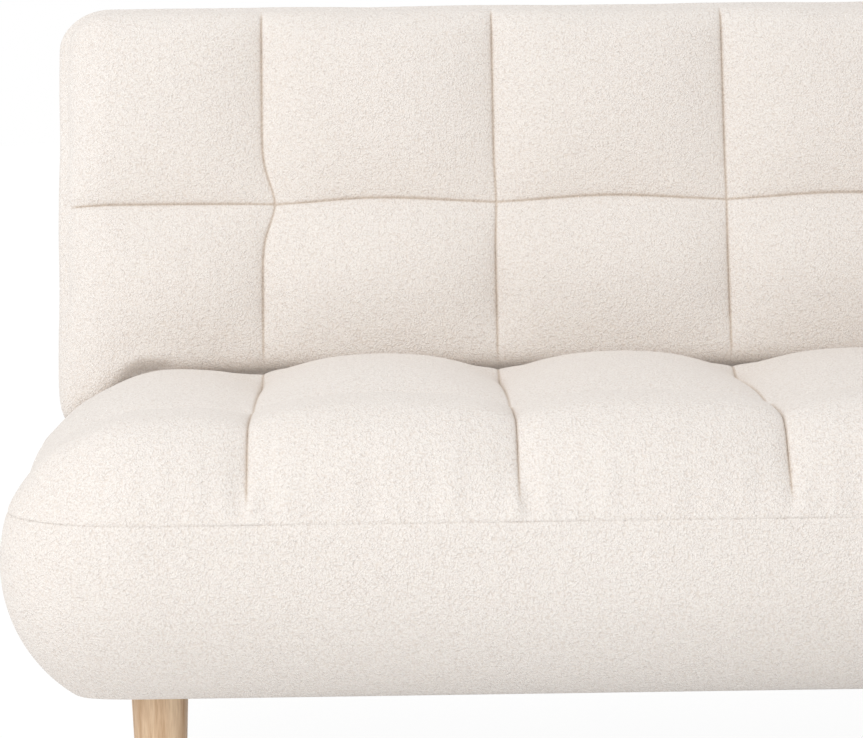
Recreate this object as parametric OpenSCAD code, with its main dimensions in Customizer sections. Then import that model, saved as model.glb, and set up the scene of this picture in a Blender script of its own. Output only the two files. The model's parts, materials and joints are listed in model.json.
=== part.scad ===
// Click-clack sofa bed with a tufted seat and back, folding from sofa to bed on ratchet hinges.
// Millimetres. X runs across the width, the front faces -Y, Z is up from the floor.
// Inside the modules y is counted back from the front of the seat.

/* [Columns] */
// Columns of tufting, always an odd number
col_count = 7; // [5:2:9]
// Pitch of the sewn seams between columns
col_w = 265; // [250:5:290]
// Width of the outermost column, from its seam to the end of the seat
end_col_w = 250; // [235:5:280]
// How far each end of the back lies inside the end of the seat
back_inset = 15; // [4:1:20]

/* [Seat] */
// Seat depth from the front to the crease
seat_depth = 560; // [540:5:600]
// Thickness of the seat from its underside to its crown
seat_t = 297; // [285:1:315]
// Height of the seat's widest line above its underside
bulge_h = 134; // [125:1:140]
// Radius of the rounding under the front and the ends
under_r = 160; // [150:1:170]
// How far the front rounds back on its way up to the crown
nose_round = 100; // [85:1:115]
// How far the ends round in on their way up to the crown
end_round = 155; // [130:1:165]
// Corner radius seen from above
plan_r = 110; // [102:1:130]
// How far the crown of the end columns lies below the others
end_droop = 12; // [0:1:14]
// How far the crown falls from the cross seam back to the crease
rear_fall = 10; // [0:1:14]
// Distance of the cross seam behind the front
seat_cross = 220; // [205:1:235]
// Height of the front border seam above the underside
border_h = 186; // [175:1:200]

/* [Back] */
// Length of the back from the hinge axis to its top
back_len = 445; // [425:5:480]
// Depth of the back behind the hinge axis
rear_depth = 90; // [86:1:105]
// Distance of the back's cross seam from the hinge axis
back_cross = 206; // [190:1:220]
// Radius along the back's top front edge
back_top_r = 50; // [40:1:55]
// Radius along the back's top rear edge
back_rear_r = 30; // [20:1:35]
// Radius of the back's upper corners, seen from the front
back_corner_r = 55; // [40:1:70]
// Radius along the back's end edges
back_edge_r = 60; // [45:1:70]
// How far the ends of the back hang down beside the seat's rear corners
end_hang = 42; // [0:1:44]
// Lean of the upright back from the vertical, in degrees
lean = 18; // [15:1:20]

/* [Tufting] */
// Depth of the seams below the crowns
groove = 25; // [15:1:27]
// Extra depth where two seams cross
tuft_dip = 8; // [0:1:9]
// Depth of the border seam
border_dip = 4; // [0:1:8]

/* [Crease] */
// Gap from the hinge axis to the seat, and to the back
crease_gap = 14; // [13:0.5:18]
// Depth of the hinge axis below the crowns
axis_drop = 60; // [56:1:62]
// Length of the rounding on each side of the crease
crease_round = 80; // [76:1:90]

/* [Legs] */
// Height of the seat's underside above the floor
leg_h = 145; // [120:1:180]
// Radius of a leg at the top
leg_top_r = 29.5; // [25:0.5:31]
// Radius of a leg at the bottom
leg_foot_r = 24; // [16:0.5:24.5]
// Thickness of the glide under a leg
glide_t = 3; // [2:0.5:5]
// Thickness of a leg plate
leg_plate_t = 4; // [3:0.5:5]
// Side of a leg plate
leg_plate_w = 76; // [74:1:79]

/* [Base frame] */
// Thickness of the rails
rail_t = 30; // [26:1:32]
// Height of the rails
rail_h = 95; // [90:1:98]
// Width of the upholstered rim under the rails
rim_t = 10; // [8:1:12]
// How far the base frame runs on behind the crease
tail_len = 200; // [120:5:215]
// Width of the centre rail
centre_rail_w = 44; // [40:1:60]
// Side of a corner block
block_w = 80; // [80:1:84]
// Height of a corner block
block_h = 50; // [45:1:52]
// Number of sprung slats
slat_count = 13; // [9:1:15]
// Width of a slat
slat_w = 58; // [45:1:60]
// Thickness of a slat
slat_t = 8; // [6:0.5:9]
// Rise of a slat's bow
slat_rise = 10; // [6:1:12]

/* [Back frame] */
// Thickness of the back frame
back_frame_t = 33; // [28:1:34]
// Width of the stiles
stile_w = 30; // [26:1:34]
// Width of the top and bottom rails
back_rail_w = 36; // [30:1:45]
// Number of webbing straps
strap_count = 4; // [3:1:5]
// Width of a webbing strap
strap_w = 50; // [40:1:60]

/* [Hinge] */
// Thickness of the hinge plates and arms
plate_t = 5; // [4:0.5:6]
// Radius of the ratchet wheel
wheel_r = 25; // [24:0.5:26]
// Depth of the wheel's notches
notch_depth = 8; // [6:0.5:8]
// Radius of the pivot pin
pivot_r = 6; // [5:0.25:6.5]
// Radius of the pawl pin
pawl_pin_r = 4; // [3:0.25:4.5]
// Distance of the pawl pin below the hinge axis
pawl_drop = 67; // [66:0.5:70]
// Fold from the upright back to the lounge position, in degrees
lounge_fold = 36; // [34:1:38]
// Turns of the pawl spring
spring_turns = 5; // [3:1:6]

/* [Hidden] */

// Colours
cream = [0.93, 0.90, 0.86];
foam_yellow = [0.93, 0.87, 0.62];
pine = [0.85, 0.70, 0.48];
beech = [0.86, 0.72, 0.55];
steel = [0.55, 0.56, 0.58];
black = [0.12, 0.12, 0.12];

// Clearances and the overrun of every cut
seat_gap = 0.3;
pin_gap = 0.06;
cut = 2;

// Places that follow from the sizes above
outer_seam = (col_count - 2) / 2 * col_w;
seat_half = outer_seam + end_col_w;
back_half = seat_half - back_inset;
seat_top = leg_h + seat_t;
bulge_z = leg_h + bulge_h;
border_z = leg_h + border_h;
seam_xs = [for (i = [0 : col_count - 2]) (i - (col_count - 2) / 2) * col_w];
under_angle = asin(min(1, bulge_h / under_r));
under_in = under_r * (1 - cos(under_angle));
hinge_y = seat_depth + crease_gap;
hinge_z = seat_top - axis_drop;
fold = 90 - lean;

// Width of the back's hanging ends
hang_w = 40;

// Share tables: where the rings and the outline points lie along the sizes that they follow
col_shares = [0, 0.06, 0.2, 0.5, 0.8, 0.94];
end_seam_shares = [0.06, 0.2];
end_shares = [0.004, 0.03, 0.1, 0.2, 0.34, 0.5, 0.7, 0.92];
under_shares = [1, 0.66, 0.33, 0];
nose_shares = [0.33, 0.5, 0.67, 0.84, 1];
border_side_share = 0.8;
short_row_shares = [0.5, 0.86, 1];
long_row_shares = [0.08, 0.32, 0.68, 1];
crease_shares = [0.33, 0.6, 0.82, 1];
top_edge_shares = [0.33, 0.67, 1];
rear_edge_shares = [0, 0.5, 1];
back_end_front_share = 0.75;
back_end_rear_share = 0.2;
top_seam_share = 0.8;

// Share of a quarter ellipse's rise that is lost at a distance e from its end. It rounds the edges,
// and gives the share of a seam's depth at a distance e from it where the pillow crowns at r.
function quarter(e, r) = e >= r ? 0 : 1 - sqrt(1 - pow((r - e) / r, 2));

// Share of the groove's depth at x, from the nearest seam between columns
function column_share(x) = quarter(min([for (s = seam_xs) abs(x - s)]), col_w / 2);

// Stations across the width: dense at the seams and at the rounded ends
function stations(half) = let (
    outer = [for (s = end_shares) half - s * end_round],
    inner = [for (i = [len(end_seam_shares) - 1 : -1 : 0])
        outer_seam + end_seam_shares[i] * col_w],
    right = concat(outer, inner),
    middle = [for (i = [0 : len(seam_xs) - 2], s = col_shares) seam_xs[i] + s * col_w]
) concat([for (x = right) -x], middle, [outer_seam],
    [for (i = [len(right) - 1 : -1 : 0]) right[i]]);

// Outward direction at point j of a closed outline that runs clockwise, with y to the right
function outward(outline, j) = let (
    n = len(outline),
    a = outline[(j + n - 1) % n],
    b = outline[(j + 1) % n],
    d = [b[0] - a[0], b[1] - a[1]]
) [-d[1], d[0]] / norm(d);

// Outline points are [y, z, share of the cross groove, share of the column groove]
function tufted(outline, x) = let (column = column_share(x)) [
    for (j = [0 : len(outline) - 1]) let (
        p = outline[j],
        along = column * p[3],
        depth = groove * (1 - (1 - along) * (1 - p[2])) + tuft_dip * along * p[2]
    ) [p[0], p[1]] - outward(outline, j) * depth
];

// Seat outline in y and z, from the underside up the front, over the top and down the crease
nose_border_angle = asin((border_h - bulge_h) / (seat_t - bulge_h));
seat_outline = concat(
    [for (s = under_shares) [
        under_r * (1 - cos(s * under_angle)), bulge_z - under_r * sin(s * under_angle), 0, 0]],
    [for (s = [border_side_share, 1]) [
        nose_round * (1 - cos(s * nose_border_angle)),
        bulge_z + (seat_top - bulge_z) * sin(s * nose_border_angle),
        s == 1 ? border_dip / groove : 0, 0]],
    [for (s = nose_shares) [
        nose_round * (1 - cos(s * 90)), bulge_z + (seat_top - bulge_z) * sin(s * 90),
        quarter(seat_cross - nose_round * (1 - cos(s * 90)), seat_cross - nose_round),
        min(1, s)]],
    [for (s = short_row_shares) let (y = nose_round + s * (seat_cross - nose_round))
        [y, seat_top, quarter(seat_cross - y, seat_cross - nose_round), 1]],
    [for (s = long_row_shares) let (
        reach = seat_depth - crease_round - seat_cross,
        y = seat_cross + s * reach)
        [y, seat_top - rear_fall * s, quarter(y - seat_cross, reach), 1]],
    [for (s = crease_shares) [
        seat_depth - crease_round * (1 - sin(s * 90)),
        hinge_z + (axis_drop - rear_fall) * cos(s * 90), 0, 1 - s]],
    [[seat_depth, leg_h, 0, 0]]
);

// Seat section at x, drawn in towards the widest line at the rounded ends
function seat_section(x) = let (
    e = seat_half - abs(x),
    droop = abs(x) > outer_seam - cut ? end_droop : 0,
    up = 1 - quarter(e, end_round),
    under = min(1, sqrt(max(0, pow(under_r, 2) - pow(max(0, under_r - e), 2))) / bulge_h),
    front = 1 - quarter(e, plan_r) * plan_r / seat_cross,
    rear = 1 - quarter(e, plan_r) * plan_r / (seat_depth - seat_cross)
) [for (p = tufted(seat_outline, x)) let (
    z = p[1] - droop * max(0, (p[1] - border_z) / (seat_top - border_z))
) [
    x,
    seat_cross + (p[0] - seat_cross) * (p[0] < seat_cross ? front : rear),
    bulge_z + (z - bulge_z) * (z > bulge_z ? up : under)]];

// Back outline about the hinge axis, with the back stood upright: y is back from the axis
back_outline = concat(
    [[0, crease_gap, 0, 0]],
    [for (s = crease_shares) [
        -axis_drop * sin(s * 90), crease_gap + crease_round * (1 - cos(s * 90)), 0, s]],
    [for (s = short_row_shares) let (
        start = crease_gap + crease_round,
        z = start + s * (back_cross - start))
        [-axis_drop, z, quarter(back_cross - z, back_cross - start), 1]],
    [for (s = long_row_shares) let (
        reach = back_len - back_top_r - back_cross,
        z = back_cross + s * reach)
        [-axis_drop, z, quarter(z - back_cross, reach), 1]],
    [for (s = top_edge_shares) [
        back_top_r * (1 - cos(s * 90)) - axis_drop,
        back_len - back_top_r * (1 - sin(s * 90)), 0, 1 - top_seam_share * s]],
    [for (s = rear_edge_shares) [
        rear_depth - back_rear_r * (1 - sin(s * 90)),
        back_len - back_rear_r * (1 - cos(s * 90)), 0, 0]],
    [[rear_depth, crease_gap, 0, 0]]
);

// Back section at x, with rounded end edges and upper corners, and ends that hang below the crease
function back_section(x) = let (
    e = back_half - abs(x),
    hang = e < hang_w ? end_hang : 0,
    front = 1 - quarter(e, back_edge_r) * back_end_front_share,
    rear = 1 - quarter(e, back_rear_r) * back_end_rear_share,
    top = 1 - quarter(e, back_corner_r) * back_corner_r / (back_len - crease_gap)
) [for (p = tufted(back_outline, x)) [
    x,
    p[0] * (p[0] < 0 ? front : rear),
    crease_gap + (p[1] - crease_gap) * top
        - hang * max(0, 1 - (p[1] - crease_gap) / crease_round)]];

// Rearmost point of the leaning back gives the overall depth
total_depth = hinge_y + max([for (p = back_outline) p[0] * cos(lean) + p[1] * sin(lean)]);

// Base frame places
tail_y = seat_depth + tail_len;
rail_out = seat_half - under_in - rim_t;
rail_in = rail_out - rail_t;
rail_front = under_in + rim_t;
rail_z = leg_h + leg_plate_t;
rail_top = rail_z + rail_h;
holder_base = 2;
holder_len = 24;
holder_wall = 3;
slat_bite = 14;
holder_in = 3;
slat_z = rail_top + holder_base + seat_gap;
rail_rear_in = 4;
slat_mid_y = (rail_front + seat_depth - rail_rear_in) / 2;
slat_span = 2 * (slat_mid_y - rail_front - holder_in - holder_len + slat_bite);
slat_bow_r = (pow(slat_span / 2, 2) + pow(slat_rise, 2)) / (2 * slat_rise);
slat_bow = asin(slat_span / 2 / slat_bow_r);
slat_margin = 50;
slat_pitch = (2 * rail_in - 2 * slat_margin - slat_w) / (slat_count - 1);
slat_xs = [for (i = [0 : slat_count - 1]) (i - (slat_count - 1) / 2) * slat_pitch];
foam_z = slat_z + slat_t + slat_rise + seat_gap;

// Wall of the covers over the foam, and the foam's own edges
cover_wall = 18;
foam_front_in = 60;
foam_rear_in = 50;
foam_edge = 40;
foam_top = seat_top - groove - tuft_dip - end_droop - cover_wall;

// Back frame places, about the hinge axis
panel_t = 2;
frame_rear = rear_depth - panel_t - seat_gap;
frame_front = frame_rear - back_frame_t;
frame_low_in = 12;
frame_top_in = 4;
frame_low = crease_gap + frame_low_in;
frame_high = back_len - back_rear_r - frame_top_in;
strap_t = 1.6;
back_foam_low = 40;
back_foam_top_in = 45;
back_foam_end_in = 55;

// Leg places: [x, y], the front pair first, then the rear pair and the middle one on the rear beam
leg_x = rail_in - block_w / 2;
front_leg_y = rail_front + rail_t + block_w / 2;
rear_leg_y = tail_y - rail_t - block_w / 2;
front_leg_places = [[-leg_x, front_leg_y], [leg_x, front_leg_y]];
leg_places = concat(front_leg_places, [[-leg_x, rear_leg_y], [leg_x, rear_leg_y], [0, rear_leg_y]]);
bolt_r = 4;
bolt_up = 36;
bolt_down = 40;
screw_r = 2;
screw_head_r = 3.5;
screw_head_t = 1.6;
screw_len = 16;
screw_in = 8;
foot_bevel = 2;
dust_t = 1.3;

// Hinge places across the width, counted in from the side rail's inner face
hinge_x = rail_in;
wheel_x = hinge_x - plate_t - seat_gap - plate_t;
arm_x = wheel_x - plate_t;
stile_in = arm_x + plate_t;
stile_out = stile_in + stile_w;
pawl_inset = 0.3;
pin_head_r = 10;
pin_head_t = 4;
pawl_head_r = 8;
pawl_head_t = 2;
pocket_gap = 4;
pocket_over = 6;
pocket_r = wheel_r + pocket_gap;
pocket_x0 = arm_x - pin_head_t - pocket_gap;
pocket_x1 = hinge_x + pocket_over;
pawl_pocket_deep = 42;
arm_half = 9;
arm_eye_r = 14;
arm_depth = 71;
arm_reach = 110;
plate_half = 11;
foot_h = 38;
foot_len = 84;
foot_drop = 3;
plate_foot_y = hinge_y - plate_half - foot_drop;
plate_foot_z = rail_top - foot_drop - foot_h;
plate_bolt_z = plate_foot_z + foot_h / 2;
bolt_head_r = 6.5;
bolt_head_t = 5;
bolt_len = 24;
plate_bolt_shares = [0.45, 0.85];
arm_bolt_shares = [0.45, 0.8];
rivet_r = 2.5;
rivet_at = 10;
notch_in_half = 4.6;
notch_out_half = 8.5;
pawl_tip_half = 3.5;
pawl_base_half = 9;
pawl_tip_gap = 0.5;
spring_wire_r = 1;
spring_inner_gap = 0.4;
spring_pitch = 2.7;
spring_len = spring_turns * spring_pitch;
spring_sides = 6;
spring_steps = 14;

// Place of a hinge plate's bolt along the plate's foot
function plate_bolt_y(share) = plate_foot_y + share * foot_len;

// Places a module that counts y from the front of the seat into the centred frame
module placed() {
    translate([0, -total_depth / 2, 0]) children();
}

// Places a module drawn about the hinge axis with the back upright
module on_back() {
    placed() translate([0, hinge_y, hinge_z]) rotate([-lean, 0, 0]) children();
}

// Places a module drawn about the hinge axis with no lean
module on_axis() {
    placed() translate([0, hinge_y, hinge_z]) children();
}

// Mirrors a right-hand piece to the left where side is -1
module on_side(side) {
    mirror([side < 0 ? 1 : 0, 0, 0]) children();
}

// Block between two corners
module block(low, high) {
    translate(low) cube(high - low);
}

// Plate across the width: a drawing in y and z, from x0 over a thickness
module across(x0, t) {
    translate([x0, 0, 0]) rotate([90, 0, 90]) linear_extrude(t) children();
}

// Round bar along the width
module bar(x0, x1, y, z, r) {
    translate([x0, y, z]) rotate([0, 90, 0]) cylinder(h = x1 - x0, r = r, $fn = 48);
}

// Solid through a row of closed rings that all have as many points
module loft(rings) {
    m = len(rings);
    n = len(rings[0]);
    sides = [for (i = [0 : m - 2], j = [0 : n - 1], half = [0, 1]) let (
        a = i * n + j,
        b = i * n + (j + 1) % n,
        c = a + n,
        d = b + n
    ) half == 0 ? [a, b, c] : [b, d, c]];
    polyhedron(
        points = [for (ring = rings, p = ring) p],
        faces = concat([[for (j = [n - 1 : -1 : 0]) j]], sides, [[for (j = [0 : n - 1]) (m - 1) * n + j]]));
}

// Seat upholstery
module seat_cover() {
    color(cream) placed() difference() {
        loft([for (x = stations(seat_half)) seat_section(x)]);
        seat_cavity();
        for (side = [-1, 1]) on_side(side) {
            bar(pocket_x0, pocket_x1, hinge_y, hinge_z, pocket_r);
            block(
                [pocket_x0, hinge_y - pawl_pocket_deep, hinge_z - pawl_drop - arm_eye_r],
                [pocket_x1, hinge_y, hinge_z]);
        }
    }
}

// Room under the cover for the frame, the slats and the foam, open below and behind the frame
module seat_cavity() {
    x1 = rail_out + seat_gap;
    y0 = foam_front_in - seat_gap;
    y1 = seat_depth - foam_rear_in + seat_gap;
    y2 = seat_depth - rail_rear_in + seat_gap;
    across(-x1, 2 * x1) polygon([
        [rail_front - seat_gap, leg_h - cut], [rail_front - seat_gap, foam_z - seat_gap],
        [y0, foam_z - seat_gap], [y0, foam_top - foam_edge], [y0 + foam_edge, foam_top + seat_gap],
        [y1, foam_top + seat_gap], [y1, foam_z - seat_gap], [y2, foam_z - seat_gap], [y2, rail_top],
        [seat_depth + cut, rail_top], [seat_depth + cut, leg_h - cut]
    ]);
}

// Foam block with a bevelled upper front edge
module seat_foam() {
    y1 = seat_depth - foam_rear_in;
    color(foam_yellow) placed() across(-rail_out, 2 * rail_out) polygon([
        [foam_front_in, foam_z], [foam_front_in, foam_top - foam_edge],
        [foam_front_in + foam_edge, foam_top], [y1, foam_top], [y1, foam_z]
    ]);
}

// One bowed slat along y, about the middle of its underside's ends
module slat() {
    translate([slat_w / 2, 0, slat_rise - slat_bow_r]) rotate([0, -90, 0]) rotate([0, 0, -slat_bow])
        rotate_extrude(angle = 2 * slat_bow, $fn = 360)
            translate([slat_bow_r, 0]) square([slat_t, slat_w]);
}

module seat_slats() {
    color(pine) placed() for (x = slat_xs) translate([x, slat_mid_y, slat_z]) slat();
}

// Plastic holder with a slot for a slat's end, opening towards +y
module slat_holder() {
    slot_h = slat_t / cos(slat_bow) + slat_bite * tan(slat_bow) + 2 * seat_gap;
    slot_end = holder_len - slat_bite - slat_t * sin(slat_bow) - seat_gap;
    difference() {
        block(
            [-slat_w / 2 - holder_wall, 0, 0],
            [slat_w / 2 + holder_wall, holder_len, holder_base + slot_h + holder_wall]);
        block(
            [-slat_w / 2 - seat_gap, slot_end, holder_base],
            [slat_w / 2 + seat_gap, holder_len + cut, holder_base + slot_h]);
    }
}

module slat_holders() {
    mouth = slat_span / 2 - slat_bite;
    color(black) placed() for (x = slat_xs, end = [0, 1]) translate([x, slat_mid_y, rail_top])
        mirror([0, end, 0]) translate([0, -mouth - holder_len, 0]) slat_holder();
}

// Side rail with the bores of the hinge plate's bolts
module side_rail(side) {
    color(pine) placed() on_side(side) difference() {
        block([rail_in, rail_front, rail_z], [rail_out, tail_y, rail_top]);
        for (s = plate_bolt_shares)
            bar(rail_in - cut, rail_in + bolt_len, plate_bolt_y(s), plate_bolt_z, bolt_r + pin_gap);
    }
}

module left_side_rail() {
    side_rail(-1);
}

module right_side_rail() {
    side_rail(1);
}

module front_rail() {
    color(pine) placed() block([-rail_in, rail_front, rail_z], [rail_in, rail_front + rail_t, rail_top]);
}

module rear_rail() {
    color(pine) placed() block(
        [-rail_in, seat_depth - rail_rear_in - rail_t, rail_z],
        [rail_in, seat_depth - rail_rear_in, rail_top]);
}

module rear_beam() {
    color(cream) placed() block([-rail_in, tail_y - rail_t, rail_z], [rail_in, tail_y, rail_top]);
}

module centre_rail() {
    color(pine) placed() block(
        [-centre_rail_w / 2, rail_front + rail_t, rail_z],
        [centre_rail_w / 2, seat_depth - rail_rear_in - rail_t, rail_top]);
}

// Bore for a leg's hanger bolt
module leg_bolt_bore(place) {
    translate([place[0], place[1], rail_z - cut])
        cylinder(h = bolt_up + cut + seat_gap, r = bolt_r + pin_gap, $fn = 48);
}

// Blocks over the legs, in the corners of the base frame and against the middle of the rear beam
module corner_blocks() {
    color(pine) placed() for (place = leg_places) difference() {
        block(
            [place[0] - block_w / 2, place[1] - block_w / 2, rail_z],
            [place[0] + block_w / 2, place[1] + block_w / 2, rail_z + block_h]);
        leg_bolt_bore(place);
        plate_screws(place, pin_gap);
    }
}

// Corner screws of one leg plate, grown by a clearance
module plate_screws(place, grow) {
    at = leg_plate_w / 2 - screw_in;
    for (dx = [-at, at], dy = [-at, at]) translate([place[0] + dx, place[1] + dy, leg_h])
        cylinder(h = screw_len + grow, r = screw_r + grow, $fn = 24);
}

module leg_plates() {
    color(steel) placed() for (place = leg_places) difference() {
        block(
            [place[0] - leg_plate_w / 2, place[1] - leg_plate_w / 2, leg_h],
            [place[0] + leg_plate_w / 2, place[1] + leg_plate_w / 2, leg_h + leg_plate_t]);
        translate([place[0], place[1], leg_h - cut])
            cylinder(h = leg_plate_t + 2 * cut, r = bolt_r + pin_gap, $fn = 48);
        translate([0, 0, -cut]) plate_screws(place, pin_gap);
    }
}

module leg_plate_screws() {
    color(steel) placed() for (place = leg_places) {
        at = leg_plate_w / 2 - screw_in;
        plate_screws(place, 0);
        for (dx = [-at, at], dy = [-at, at])
            translate([place[0] + dx, place[1] + dy, leg_h - screw_head_t])
                cylinder(h = screw_head_t, r = screw_head_r, $fn = 24);
    }
}

module hanger_bolts() {
    color(steel) placed() for (place = leg_places) translate([place[0], place[1], leg_h - bolt_down])
        cylinder(h = bolt_down + leg_plate_t + bolt_up, r = bolt_r, $fn = 48);
}

// Turned leg, tapered to the foot, with the bore of its bolt
module leg(place) {
    color(beech) placed() translate([place[0], place[1], 0]) difference() {
        rotate_extrude($fn = 96) polygon([
            [0, glide_t], [leg_foot_r - foot_bevel, glide_t], [leg_foot_r, glide_t + foot_bevel],
            [leg_top_r, leg_h], [0, leg_h]
        ]);
        translate([0, 0, leg_h - bolt_down - seat_gap])
            cylinder(h = bolt_down + seat_gap + cut, r = bolt_r + pin_gap, $fn = 48);
    }
}

module front_left_leg() {
    leg(leg_places[0]);
}

module front_right_leg() {
    leg(leg_places[1]);
}

module rear_left_leg() {
    leg(leg_places[2]);
}

module rear_right_leg() {
    leg(leg_places[3]);
}

module centre_leg() {
    leg(leg_places[4]);
}

module leg_glides() {
    color(black) placed() for (place = leg_places) translate([place[0], place[1], 0])
        cylinder(h = glide_t, r = leg_foot_r - foot_bevel, $fn = 64);
}

// Cloth under the seat, with openings for the front leg plates
module dust_cover() {
    top = rail_z - seat_gap;
    color(black) placed() difference() {
        block([-rail_out, rail_front, top - dust_t], [rail_out, seat_depth - rail_rear_in, top]);
        for (place = front_leg_places) {
            at = leg_plate_w / 2 + seat_gap;
            block([place[0] - at, place[1] - at, leg_h - cut], [place[0] + at, place[1] + at, rail_z]);
        }
    }
}

// Steel plate on the base: a foot on the side rail and an arm up the crease to the axis
module hinge_plate(side) {
    color(steel) placed() on_side(side) across(hinge_x - plate_t, plate_t) difference() {
        union() {
            translate([plate_foot_y, plate_foot_z]) square([foot_len, foot_h]);
            translate([hinge_y - plate_half, plate_foot_z])
                square([2 * plate_half, hinge_z - plate_foot_z]);
            translate([hinge_y, hinge_z]) circle(plate_half, $fn = 64);
        }
        translate([hinge_y, hinge_z]) circle(pivot_r + pin_gap, $fn = 64);
        translate([hinge_y, hinge_z - pawl_drop]) circle(pawl_pin_r + pin_gap, $fn = 48);
        for (s = plate_bolt_shares)
            translate([plate_bolt_y(s), plate_bolt_z]) circle(bolt_r + pin_gap, $fn = 48);
    }
}

module left_hinge_plate() {
    hinge_plate(-1);
}

module right_hinge_plate() {
    hinge_plate(1);
}

module hinge_plate_bolts() {
    color(steel) placed() for (side = [-1, 1], s = plate_bolt_shares) on_side(side) {
        bar(hinge_x - plate_t, hinge_x + bolt_len - seat_gap, plate_bolt_y(s), plate_bolt_z, bolt_r);
        across(hinge_x - plate_t - bolt_head_t, bolt_head_t)
            translate([plate_bolt_y(s), plate_bolt_z]) circle(bolt_head_r, $fn = 6);
    }
}

// Headed pin through the arm, the ratchet and the plate, with a riveted outer end
module pivot_pin(side) {
    color(steel) on_axis() on_side(side) {
        bar(arm_x - seat_gap - pin_head_t, hinge_x + pin_head_t, 0, 0, pivot_r);
        bar(arm_x - seat_gap - pin_head_t, arm_x - seat_gap, 0, 0, pin_head_r);
        bar(hinge_x + seat_gap, hinge_x + pin_head_t, 0, 0, pin_head_r);
    }
}

module left_pivot_pin() {
    pivot_pin(-1);
}

module right_pivot_pin() {
    pivot_pin(1);
}

// Pawl pin, flush with the pawl and headed past its spring
module pawl_pin(side) {
    head_x = hinge_x + spring_len + 2 * spring_wire_r + 2 * seat_gap;
    end_x = head_x + pawl_head_t;
    color(steel) on_axis() on_side(side) {
        bar(wheel_x + pawl_inset, end_x, 0, -pawl_drop, pawl_pin_r);
        bar(head_x, end_x, 0, -pawl_drop, pawl_head_r);
    }
}

module left_pawl_pin() {
    pawl_pin(-1);
}

module right_pawl_pin() {
    pawl_pin(1);
}

// Coil of the pawl spring round its pin
module pawl_spring(side) {
    r = pawl_pin_r + spring_inner_gap + spring_wire_r;
    count = spring_turns * spring_steps;
    x0 = hinge_x + seat_gap + spring_wire_r;
    rings = [for (i = [0 : count]) let (turn = 360 * i / spring_steps) [
        for (k = [0 : spring_sides - 1]) let (
            a = 360 * k / spring_sides,
            out = r + spring_wire_r * cos(a)
        ) [
            x0 + spring_pitch * i / spring_steps + spring_wire_r * sin(a),
            out * cos(turn),
            out * sin(turn) - pawl_drop
        ]
    ]];
    color(steel) on_axis() on_side(side) loft(rings);
}

module left_pawl_spring() {
    pawl_spring(-1);
}

module right_pawl_spring() {
    pawl_spring(1);
}

// Back upholstery, open behind for the frame
module back_cover() {
    color(cream) on_back() difference() {
        loft([for (x = stations(back_half)) back_section(x)]);
        block(
            [-stile_out - seat_gap, frame_front - strap_t, frame_low - seat_gap],
            [stile_out + seat_gap, rear_depth + cut, frame_high + seat_gap]);
        back_foam_block(seat_gap);
        for (side = [-1, 1]) on_side(side) {
            bar(pocket_x0, pocket_x1, 0, 0, pocket_r);
            block(
                [arm_x - seat_gap, arm_depth - arm_half - seat_gap, crease_gap - cut],
                [arm_x + plate_t + seat_gap, arm_depth + arm_half + seat_gap, frame_low]);
        }
    }
}

module back_foam_block(grow) {
    x1 = back_half - back_foam_end_in + grow;
    y0 = groove + tuft_dip + cover_wall - axis_drop - grow;
    block([-x1, y0, back_foam_low - grow], [x1, frame_front - strap_t, back_len - back_foam_top_in + grow]);
}

module back_foam() {
    color(foam_yellow) on_back() difference() {
        back_foam_block(0);
        block([-back_half, frame_front - strap_t - seat_gap, 0], [back_half, frame_front, back_len]);
    }
}

// Back frame, with the hinge arms on the stiles' inner faces
module back_top_rail() {
    color(pine) on_back() block(
        [-stile_in, frame_front, frame_high - back_rail_w], [stile_in, frame_rear, frame_high]);
}

module back_bottom_rail() {
    inner = arm_x - bolt_head_t - seat_gap;
    color(pine) on_back() block(
        [-inner, frame_front, frame_low], [inner, frame_rear, frame_low + back_rail_w]);
}

module stile(side) {
    color(pine) on_back() on_side(side) difference() {
        block([stile_in, frame_front, frame_low], [stile_out, frame_rear, frame_high]);
        for (s = arm_bolt_shares)
            bar(stile_in - cut, stile_in + bolt_len, arm_depth, s * arm_reach, bolt_r + pin_gap);
    }
}

module left_stile() {
    stile(-1);
}

module right_stile() {
    stile(1);
}

module mid_stiles() {
    color(pine) on_back() for (x = [-col_w, col_w]) block(
        [x - stile_w / 2, frame_front, frame_low + back_rail_w],
        [x + stile_w / 2, frame_rear, frame_high - back_rail_w]);
}

// Straps across the front of the back frame
module back_webbing() {
    room = frame_high - frame_low - 2 * back_rail_w - strap_w;
    color(black) on_back() for (i = [0 : strap_count - 1]) {
        z = frame_low + back_rail_w + i * room / (strap_count - 1);
        block([-stile_out, frame_front - strap_t, z], [stile_out, frame_front, z + strap_w]);
    }
}

module rear_panel() {
    color(cream) on_back() block(
        [-stile_out, rear_depth - panel_t, frame_low], [stile_out, rear_depth, frame_high]);
}

// Steel arm from the axis back under the cover and up the stile
module back_arm(side) {
    color(steel) on_back() on_side(side) across(arm_x, plate_t) difference() {
        union() {
            circle(arm_eye_r, $fn = 64);
            translate([0, -arm_half]) square([arm_depth + arm_half, 2 * arm_half]);
            translate([arm_depth - arm_half, -arm_half]) square([2 * arm_half, arm_half + arm_reach]);
        }
        circle(pivot_r + pin_gap, $fn = 64);
        rivet_holes(rivet_r);
        for (s = arm_bolt_shares) translate([arm_depth, s * arm_reach]) circle(bolt_r + pin_gap, $fn = 48);
    }
}

// Two rivets beside the axis, square to the notches
module rivet_holes(r) {
    for (a = [-40, 140]) rotate(a) translate([0, rivet_at]) circle(r, $fn = 24);
}

module left_back_arm() {
    back_arm(-1);
}

module right_back_arm() {
    back_arm(1);
}

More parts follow.
